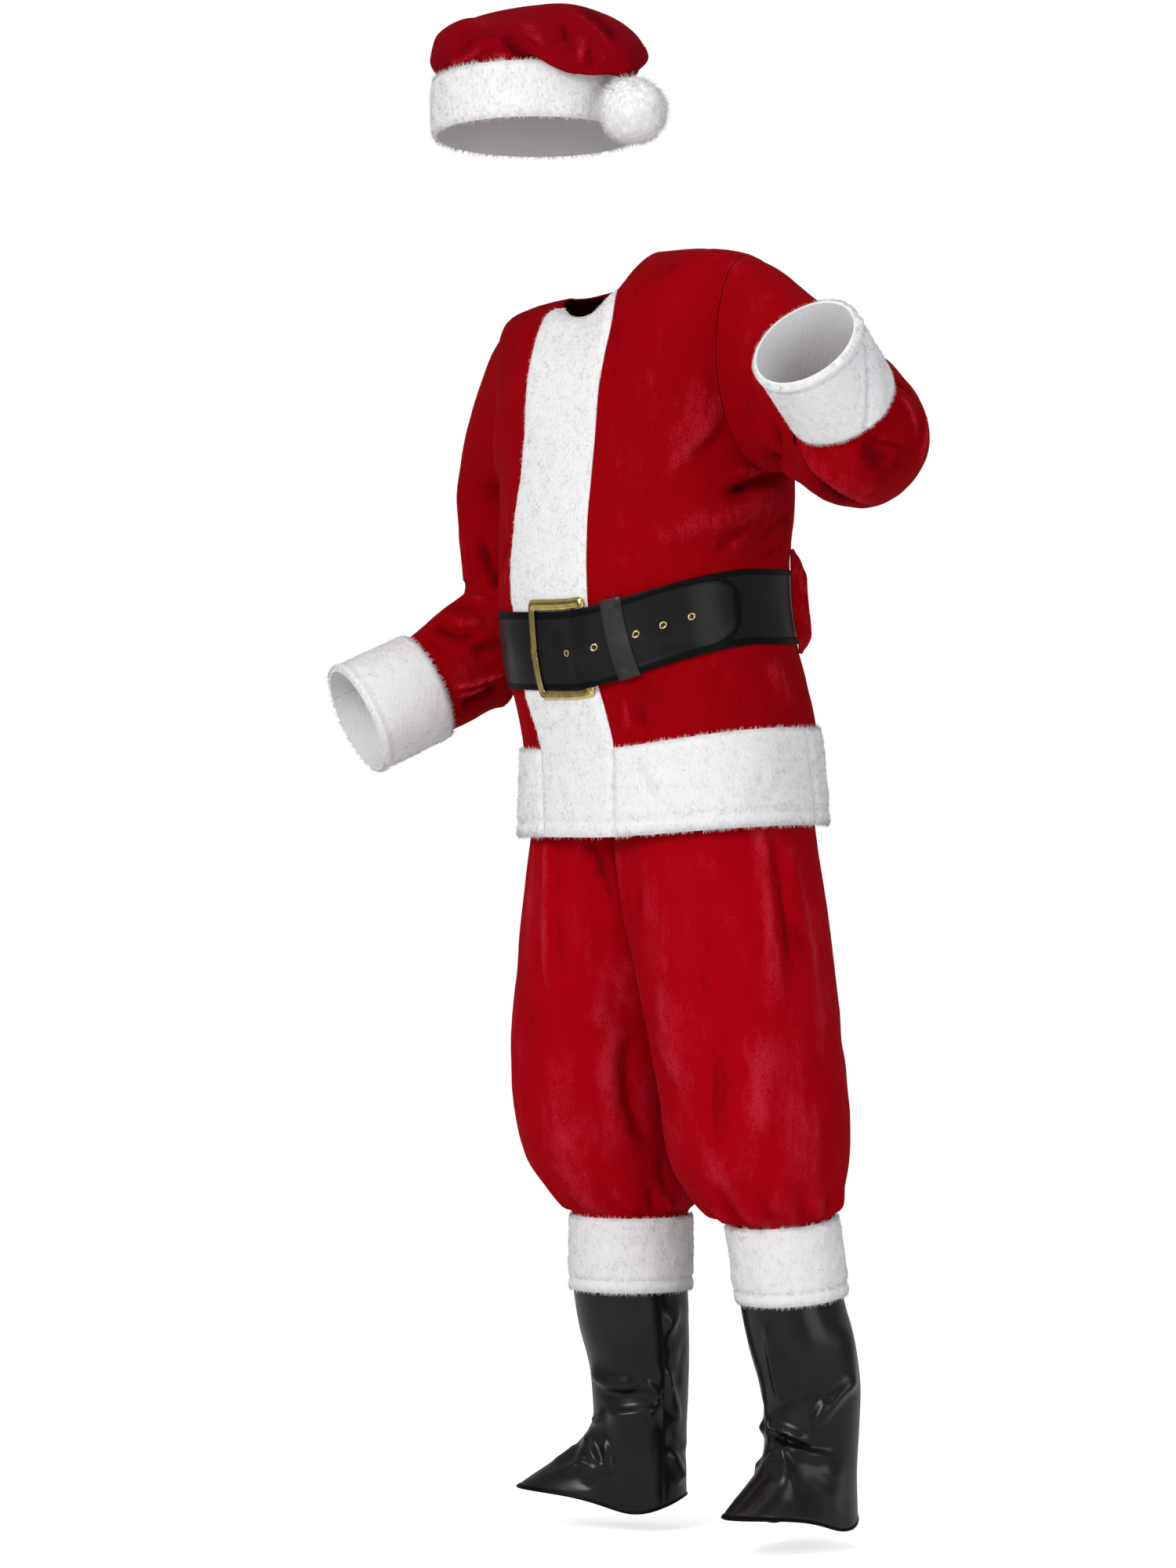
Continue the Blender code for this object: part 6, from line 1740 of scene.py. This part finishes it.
def make_brim():
    """The fur band round the hat's opening."""
    rows, columns = GRIDS["brim"]
    tufts, fibres = FUR_SEEDS["brim"]
    turn = ring_turn(columns)[None, :]
    down = np.linspace(0, BRIM_HEIGHT, rows)[:, None] + 0 * turn
    up = BRIM_HEIGHT - down
    inner = hat_point(BRIM_INNER * np.cos(turn) + 0 * up, BRIM_INNER * np.sin(turn) + 0 * up, BRIM_TOP - down)
    thickness = BAND_FUR * plump(np.minimum(down, up), 14.0, 0.3)
    thickness = roughened(thickness, inner, "brim") + tufted(inner, tufts)
    normal = unit((inner - hat_point(0.0, 0.0, 0.0)) * (1, 1, 0))
    outer = inner + normal * np.maximum(thickness, LEAST_FUR)[..., None]
    ends = two_ends(down, up)
    trim("hat_brim", (outer, inner), normal, fibres, lean=0.28, length=6.0, ends=ends, ring=True)


def make_pompom():
    """A ball of long pile on the tail's end: a lumpy ball with fibres that stand out from it."""
    rows, columns = GRIDS["pompom"]
    pile = settings().fur.pompom_pile
    middle = hat_point(POMPOM_ALONG, 0.0, POMPOM_UP)
    lift = np.linspace(0.02, np.pi - 0.02, rows)[:, None]
    turn = ring_turn(columns)[None, :]
    way = np.stack([np.sin(lift) * np.cos(turn), np.sin(lift) * np.sin(turn), np.cos(lift) + 0 * turn], -1)
    core = POMPOM_RADIUS - pile * 0.55
    reach = roughened(core, way * core, "pompom")
    ball = middle + way * reach[..., None]
    numbers = ring_numbers(rows, columns)
    top = np.full(columns, rows * columns)
    caps = np.concatenate([
        np.stack([numbers[0][1:], numbers[0][:-1], top], -1),
        np.stack([numbers[-1][:-1], numbers[-1][1:], top + 1], -1)])
    points = np.concatenate([ball.reshape(-1, 3), ball[[0, -1]].mean(axis=1)])
    # The pom-pom's finish glows with painted light.
    piece = add_piece("pompom_ball", points, grid_quads(numbers), caps, "pompom", sharp=0.0)
    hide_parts("hat_pompom")
    fur_on(
        "pompom_pile", closed(ball), closed(way), cover=0.5, length=pile, lay=DOWN, lean=0.6,
        seed=FUR_SEEDS["pompom"][1], shine=0.05, look="pompom")


# ---------------------------------------------------------------- finishes

def feed(tree, node, values):
    """Sets a node's inputs to numbers and colours, or links them to other nodes' outputs."""
    for socket, value in values.items():
        if isinstance(value, bpy.types.NodeSocket):
            tree.links.new(value, node.inputs[socket])
        else:
            node.inputs[socket].default_value = value


def add_node(tree, kind, values=None, **facts):
    """A new node with its facts set and its inputs fed."""
    node = tree.nodes.new(kind)
    for fact, value in facts.items():
        setattr(node, fact, value)
    feed(tree, node, values or {})
    return node


def math_node(tree, kind, *values):
    """The output of a Math node."""
    return add_node(tree, "ShaderNodeMath", dict(enumerate(values)), operation=kind).outputs[0]


def scaled(tree, value, gain, more):
    """The output of a Math node: a value times a gain, and more added."""
    return math_node(tree, "MULTIPLY_ADD", value, gain, more)


def centred(tree, value):
    """A mask from 0 to 1 as one from -0.5 to 0.5."""
    return math_node(tree, "SUBTRACT", value, 0.5)


def mark_node(tree, mark):
    """The output of a mark that a mesh carries on its points."""
    return add_node(tree, "ShaderNodeAttribute", attribute_name=mark).outputs["Fac"]


def bumps(tree, strength, depth, height):
    """The output of a Bump node of a depth in metres."""
    return add_node(
        tree, "ShaderNodeBump", {"Strength": strength, "Distance": depth, "Height": height}).outputs[0]


def ramp_node(tree, value, stops):
    """The output of a colour ramp with a list of places and colours."""
    node = add_node(tree, "ShaderNodeValToRGB", {0: value})
    elements = node.color_ramp.elements
    while len(elements) < len(stops):
        elements.new(0.5)
    for element, (place, shade) in zip(elements, stops):
        element.position = place
        element.color = (*shade, 1.0)
    return node.outputs["Color"]


def new_group(name, inputs, outputs):
    """A node group with float sockets and a vector, its input node and its output node."""
    group = bpy.data.node_groups.new(name, "ShaderNodeTree")
    group.interface.new_socket("Vector", in_out="INPUT", socket_type="NodeSocketVector")
    for way, labels in (("INPUT", inputs), ("OUTPUT", outputs)):
        for label in labels:
            group.interface.new_socket(label, in_out=way, socket_type="NodeSocketFloat")
    return group, group.nodes.new("NodeGroupInput").outputs, group.nodes.new("NodeGroupOutput")


def pile_group(name):
    """A node group of the pile's masks: broad patches, streaks down the nap and single hairs."""
    masks = (("Patch", 0.45, 3.0, 0.55), ("Streak", 0.35, 3.0, 0.6), ("Hair", 0.5, 2.0, 0.6))
    labels = [mask[0] for mask in masks]
    group, source, target = new_group(name, [label + " Scale" for label in labels], labels)
    for label, stretch, detail, rough in masks:
        place = {"Vector": source["Vector"], "Scale": (1.0, 1.0, stretch)}
        noise = add_node(group, "ShaderNodeTexNoise", {
            "Vector": add_node(group, "ShaderNodeMapping", place).outputs[0],
            "Scale": source[label + " Scale"], "Detail": detail, "Roughness": rough})
        feed(group, target, {label: noise.outputs["Fac"]})
    return group


def grain_group(name):
    """A node group of a leather's grain: small cells with creases between them, and soft wear."""
    group, source, target = new_group(name, ("Cell Scale", "Wear Scale"), ("Cells", "Wear"))
    cells = add_node(group, "ShaderNodeTexVoronoi", {
        "Vector": source["Vector"], "Scale": source["Cell Scale"], "Randomness": 1.0}, feature="SMOOTH_F1")
    wear = add_node(group, "ShaderNodeTexNoise", {
        "Vector": source["Vector"], "Scale": source["Wear Scale"], "Detail": 4.0, "Roughness": 0.6})
    feed(group, target, {"Cells": cells.outputs["Distance"], "Wear": wear.outputs["Fac"]})
    return group


def blank_material(name):
    """A new material, its tree and its shader."""
    made = bpy.data.materials.new(name)
    made.use_nodes = True
    return made, made.node_tree, made.node_tree.nodes["Principled BSDF"]


def group_masks(tree, name, make, *scales):
    """The masks of a node group at some scales, on the object's own coordinates."""
    node = add_node(tree, "ShaderNodeGroup", node_tree=bpy.data.node_groups.get(name) or make(name))
    place = tree.nodes.new("ShaderNodeTexCoord").outputs["Object"]
    feed(tree, node, dict(enumerate((place, *scales))))
    return list(node.outputs)


def plush_material(name, red, nap_and_shading_gain, patch_gain, middle):
    """Red plush: deep to brushed red by the nap mark with its painted light, the patches and the hairs."""
    sizes = settings().plush
    made, tree, shader = blank_material(name)
    patch, streak, hair = group_masks(tree, "suit_pile", pile_group, 16.0, 95.0, 620.0)
    tone = scaled(tree, mark_node(tree, "nap"), nap_and_shading_gain, middle)
    tone = scaled(tree, math_node(tree, "MAXIMUM", centred(tree, patch), -0.1), patch_gain, tone)
    brushed = math_node(tree, "MAXIMUM", math_node(tree, "SUBTRACT", tone, middle), 0.0)
    for mask, gain, least in ((streak, 1.7, 0.28), (hair, 2.4, 0.32)):
        speckle = math_node(tree, "MULTIPLY", centred(tree, mask), scaled(tree, brushed, gain, least))
        tone = math_node(tree, "ADD", tone, speckle)
    red, deep, light = np.array(red), np.array(sizes.deep), np.array(sizes.brushed)
    stops = (
        (0.0, deep), (0.2, 0.45 * red + 0.55 * deep), (0.36, red), (0.5, red),
        (0.66, 0.62 * red + 0.38 * light), (0.9, light),
    )
    feed(tree, shader, {
        "Base Color": ramp_node(tree, tone, stops),
        "Normal": bumps(tree, 0.5, 0.0012, scaled(tree, streak, 0.6, hair)),
        "Roughness": 0.85, "Specular IOR Level": 0.03, "Sheen Weight": sizes.sheen, "Sheen Roughness": 0.34,
        "Sheen Tint": (1.0, 0.05, 0.09, 1.0),
    })
    return made


def fur_material(name, glow):
    """White fur, mottled at random from the shade to the white, with a glow that is painted light."""
    sizes = settings().fur
    made, tree, shader = blank_material(name)
    patch, streak, hair = group_masks(tree, "suit_pile", pile_group, 24.0, 120.0, 500.0)
    tone = scaled(tree, hair, 0.2, scaled(tree, streak, 0.55, scaled(tree, patch, 0.5, 0.12)))
    shade = ramp_node(tree, tone, ((0.25, sizes.shade), (0.6, sizes.white)))
    feed(tree, shader, {
        "Base Color": shade, "Emission Color": shade, "Emission Strength": glow,
        "Normal": bumps(tree, 0.5, 0.0014, math_node(tree, "ADD", streak, hair)),
        "Roughness": 0.95, "Specular IOR Level": 0.2, "Sheen Weight": 0.35, "Sheen Roughness": 0.5,
    })
    return made


def leather_material(name, black, rough, coat, cell, bump_strength, lift):
    """Black leathercloth: a fine grain, a glossy coat with soft wear in it and matt bound edges."""
    made, tree, shader = blank_material(name)
    cells, worn = group_masks(tree, "suit_grain", grain_group, cell, 22.0)
    bound = mark_node(tree, "bound")
    wear = centred(tree, worn)
    tone = scaled(tree, bound, -0.5, scaled(tree, wear, 1.6, 0.45))
    black = np.array(black)
    film = math_node(
        tree, "MULTIPLY", scaled(tree, wear, 0.5 * coat, coat), math_node(tree, "SUBTRACT", 1.0, bound))
    feed(tree, shader, {
        "Base Color": ramp_node(tree, tone, ((0.0, 0.25 * black), (0.5, black), (1.0, lift * black))),
        "Coat Weight": math_node(tree, "MAXIMUM", film, 0.0),
        "Normal": bumps(tree, bump_strength, 0.0008, scaled(tree, worn, 0.1, cells)),
        "Roughness": rough, "Specular IOR Level": 0.1, "Coat IOR": 1.4, "Coat Roughness": 0.56 * rough,
    })
    return made


def metal_material(name, tint, gloss, dark, through):
    """Polished metal with faint rubbed streaks, darker where it is marked: the black floor inside an eyelet,
    and painted shade and reflection on the buckle's bevels.
    """
    made, tree, shader = blank_material(name)
    worn = group_masks(tree, "suit_grain", grain_group, 260.0, 60.0)[1]
    wear = centred(tree, worn)
    tint = np.array(tint)
    mark = mark_node(tree, "hole_and_painted_shade")
    mixed = add_node(tree, "ShaderNodeMix", {
        0: mark, 6: ramp_node(tree, scaled(tree, wear, 1.2, 0.5), ((0.0, 0.75 * tint), (1.0, tint))),
        7: (*dark, 1.0)}, data_type="RGBA")
    feed(tree, shader, {
        "Base Color": mixed.outputs[2],
        "Metallic": math_node(tree, "SUBTRACT", 1.0, mark) if through else 1.0,
        "Roughness": scaled(tree, wear, 0.14, gloss),
        "Normal": bumps(tree, 0.03, 0.0005, worn),
    })
    return made


def finish(name):
    """A finish by its name, made once."""
    plush, leather = settings().plush, settings().leather
    makers = {
        # The three plushes differ in their red and in how their tone runs: partly painted shade and light on
        # each part.
        "jacket_plush": (plush_material, plush.jacket, 0.4, 0.6, 0.42),
        "breeches_plush": (plush_material, plush.breeches, 0.36, 1.0, 0.47),
        "hat_plush": (plush_material, plush.hat, 0.55, 0.5, 0.42),
        "fur": (fur_material, 0.0),
        # The pom-pom glows: painted light that brightens it though it is no lamp.
        "pompom": (fur_material, 0.22),
        "strap": (leather_material, leather.strap, 0.5, 0.36, 900.0, 0.06, 3.0),
        "keeper": (leather_material, leather.keeper, 0.45, 0.6, 700.0, 0.12, 2.0),
        "thread": (leather_material, leather.strap, 0.6, 0.0, 900.0, 0.1, 3.0),
        "vinyl": (leather_material, leather.vinyl, 0.44, 0.72, 500.0, 0.03, 2.0),
        # The buckle's dark tint is its painted shade and reflection.
        "buckle_gold": (metal_material, leather.gold, 0.16, (0.14, 0.09, 0.02), False),
        "eyelet_brass": (metal_material, leather.brass, 0.22, (0.002, 0.002, 0.002), True),
    }
    make, *facts = makers[name]
    return bpy.data.materials.get(name) or make(name, *facts)


# ---------------------------------------------------------------- stage

def aimed(thing, place, target):
    """Puts an object at a place and turns its back axis away from a target."""
    thing.location = place
    way = Vector(target) - Vector(place)
    thing.rotation_euler = way.to_track_quat("-Z", "Y").to_euler()


def add_light(name, place, target, size, power, tint):
    """A square soft light."""
    light = bpy.data.lights.new(name, "AREA")
    light.shape = "SQUARE"
    light.size = size
    light.energy = power * settings().stage.light
    light.color = tint
    aimed(add_thing(name, light), place, target)


def camera_ray(tree):
    """1 where the camera looks straight at a surface, and 0 for any other light path."""
    return tree.nodes.new("ShaderNodeLightPath").outputs["Is Camera Ray"]


def make_floor():
    """A pale floor at level 0 of the tables, which shows brighter to the camera."""
    facts = settings().stage
    shade = np.array(facts.floor)
    level = -NECK[2] * MM
    corners = [(x * facts.reach, y * facts.reach, level) for x, y in ((-1, -1), (1, -1), (1, 1), (-1, 1))]
    mesh = bpy.data.meshes.new("floor")
    mesh.from_pydata(corners, [], [(0, 1, 2, 3)])
    made, tree, shader = blank_material("floor")
    patch = group_masks(tree, "suit_pile", pile_group, 1.2, 9.0, 60.0)[0]
    feed(tree, shader, {
        "Base Color": ramp_node(tree, patch, ((0.3, 0.98 * shade), (0.7, shade))),
        "Roughness": 0.85, "Emission Color": (1.0, 1.0, 1.0, 1.0),
        "Emission Strength": math_node(tree, "MULTIPLY", camera_ray(tree), FLOOR_GLOW),
    })
    mesh.materials.append(made)
    add_thing("floor", mesh)


def make_stage():
    """The floor, soft light from the front and above, and the camera."""
    make_floor()
    world = bpy.data.worlds.new("studio")
    world.use_nodes = True
    tree = world.node_tree
    strength = scaled(tree, camera_ray(tree), 1.0 - WORLD_LIGHT, WORLD_LIGHT)
    feed(tree, tree.nodes["Background"], {"Color": (1.0, 1.0, 1.0, 1.0), "Strength": strength})
    bpy.context.scene.world = world
    for light in LIGHTS:
        add_light(*light)
    camera = bpy.data.cameras.new("camera")
    camera.sensor_fit = "VERTICAL"
    camera.sensor_height = 36.0
    camera.lens = CAMERA_LENS
    camera.clip_end = 60.0
    viewer = add_thing("camera", camera)
    aimed(viewer, CAMERA_PLACE, tuple(np.array(CAMERA_PLACE) + CAMERA_WAY))
    bpy.context.scene.camera = viewer
    bpy.context.scene.view_settings.view_transform = "Standard"


# ---------------------------------------------------------------- operators

class SantaStep(bpy.types.Operator):
    """What every step of the suit shares."""

    bl_idname = "santa.step"
    bl_label = "Step"
    bl_options = {"REGISTER", "UNDO"}
    steps = ()

    def execute(self, context):
        """Runs the step's functions in order; any failure is an error and not a cancelled step."""
        for step in self.steps:
            step()
        return {"FINISHED"}


class SANTA_OT_jacket(SantaStep):
    """Makes the jacket's two fronts and its back, with their folds"""

    bl_idname = "santa.jacket"
    bl_label = "Jacket"
    steps = (make_jacket,)


class SANTA_OT_bands(SantaStep):
    """Makes the fur band down the front and the three round the hem"""

    bl_idname = "santa.bands"
    bl_label = "Front and hem bands"
    steps = (make_front_band, make_hem_bands)


class SANTA_OT_sleeves(SantaStep):
    """Makes the two sleeves"""

    bl_idname = "santa.sleeves"
    bl_label = "Sleeves"
    steps = (make_sleeves,)


class SANTA_OT_sleeve_cuffs(SantaStep):
    """Makes the two turned-back fur cuffs of the sleeves"""

    bl_idname = "santa.sleeve_cuffs"
    bl_label = "Sleeve cuffs"
    steps = (make_sleeve_cuffs,)


class SANTA_OT_belt_loops(SantaStep):
    """Makes the two plush loops that carry the belt"""

    bl_idname = "santa.belt_loops"
    bl_label = "Belt loops"
    steps = (make_belt_loops,)


class SANTA_OT_strap(SantaStep):
    """Makes the belt's bound strap with its stitches, and the keeper"""

    bl_idname = "santa.strap"
    bl_label = "Strap and keeper"
    steps = (make_strap, make_keeper)


class SANTA_OT_buckle(SantaStep):
    """Makes the gold buckle's frame"""

    bl_idname = "santa.buckle"
    bl_label = "Buckle"
    steps = (make_buckle,)


class SANTA_OT_eyelets(SantaStep):
    """Makes the five brass eyelets"""

    bl_idname = "santa.eyelets"
    bl_label = "Eyelets"
    steps = (make_eyelets,)


class SANTA_OT_breeches(SantaStep):
    """Makes the four panels of the breeches and the waistband"""

    bl_idname = "santa.breeches"
    bl_label = "Breeches"
    steps = (make_breeches, make_waistband)


class SANTA_OT_leg_cuffs(SantaStep):
    """Makes the two fur cuffs of the breeches"""

    bl_idname = "santa.leg_cuffs"
    bl_label = "Leg cuffs"
    steps = (make_leg_cuffs,)


class SANTA_OT_boot_covers(SantaStep):
    """Makes the two boot covers, each a front and a back panel"""

    bl_idname = "santa.boot_covers"
    bl_label = "Boot covers"
    steps = (make_boot_covers,)


class SANTA_OT_hat(SantaStep):
    """Makes the hat's crown and its fur brim"""

    bl_idname = "santa.hat"
    bl_label = "Hat"
    steps = (make_crown, make_brim)


class SANTA_OT_pompom(SantaStep):
    """Makes the pom-pom"""

    bl_idname = "santa.pompom"
    bl_label = "Pom-pom"
    steps = (make_pompom,)


class SANTA_OT_stage(SantaStep):
    """Makes the floor, the lights and the camera"""

    bl_idname = "santa.stage"
    bl_label = "Stage"
    steps = (make_stage,)


OPERATORS = tuple(SantaStep.__subclasses__())


class SANTA_PT_suit(bpy.types.Panel):
    """Lists the suit's settings and its steps"""

    bl_idname = "SANTA_PT_suit"
    bl_label = "Santa Suit"
    bl_space_type = "VIEW_3D"
    bl_region_type = "UI"
    bl_category = "Santa Suit"

    def draw(self, context):
        """Draws each group of settings and then a button for each step."""
        for group in (settings().plush, settings().fur, settings().leather, settings().stage):
            box = self.layout.box()
            for fact in group.__annotations__:
                box.prop(group, fact)
        for operator in OPERATORS:
            self.layout.operator(operator.bl_idname)


CLASSES = (SantaPlush, SantaFur, SantaLeather, SantaStage, SantaSettings, *OPERATORS, SANTA_PT_suit)


def register():
    """Registers the settings, the operators and the panel."""
    for kind in CLASSES:
        bpy.utils.register_class(kind)
    bpy.types.Scene.santa_suit = bpy.props.PointerProperty(type=SantaSettings)


def unregister():
    """Removes the settings, the panel and the operators again."""
    del bpy.types.Scene.santa_suit
    for kind in reversed(CLASSES):
        bpy.utils.unregister_class(kind)


def main():
    """Makes the whole suit."""
    register()
    for operator in OPERATORS:
        group, step = operator.bl_idname.split(".")
        getattr(getattr(bpy.ops, group), step)()


if __name__ == "__main__":
    main()
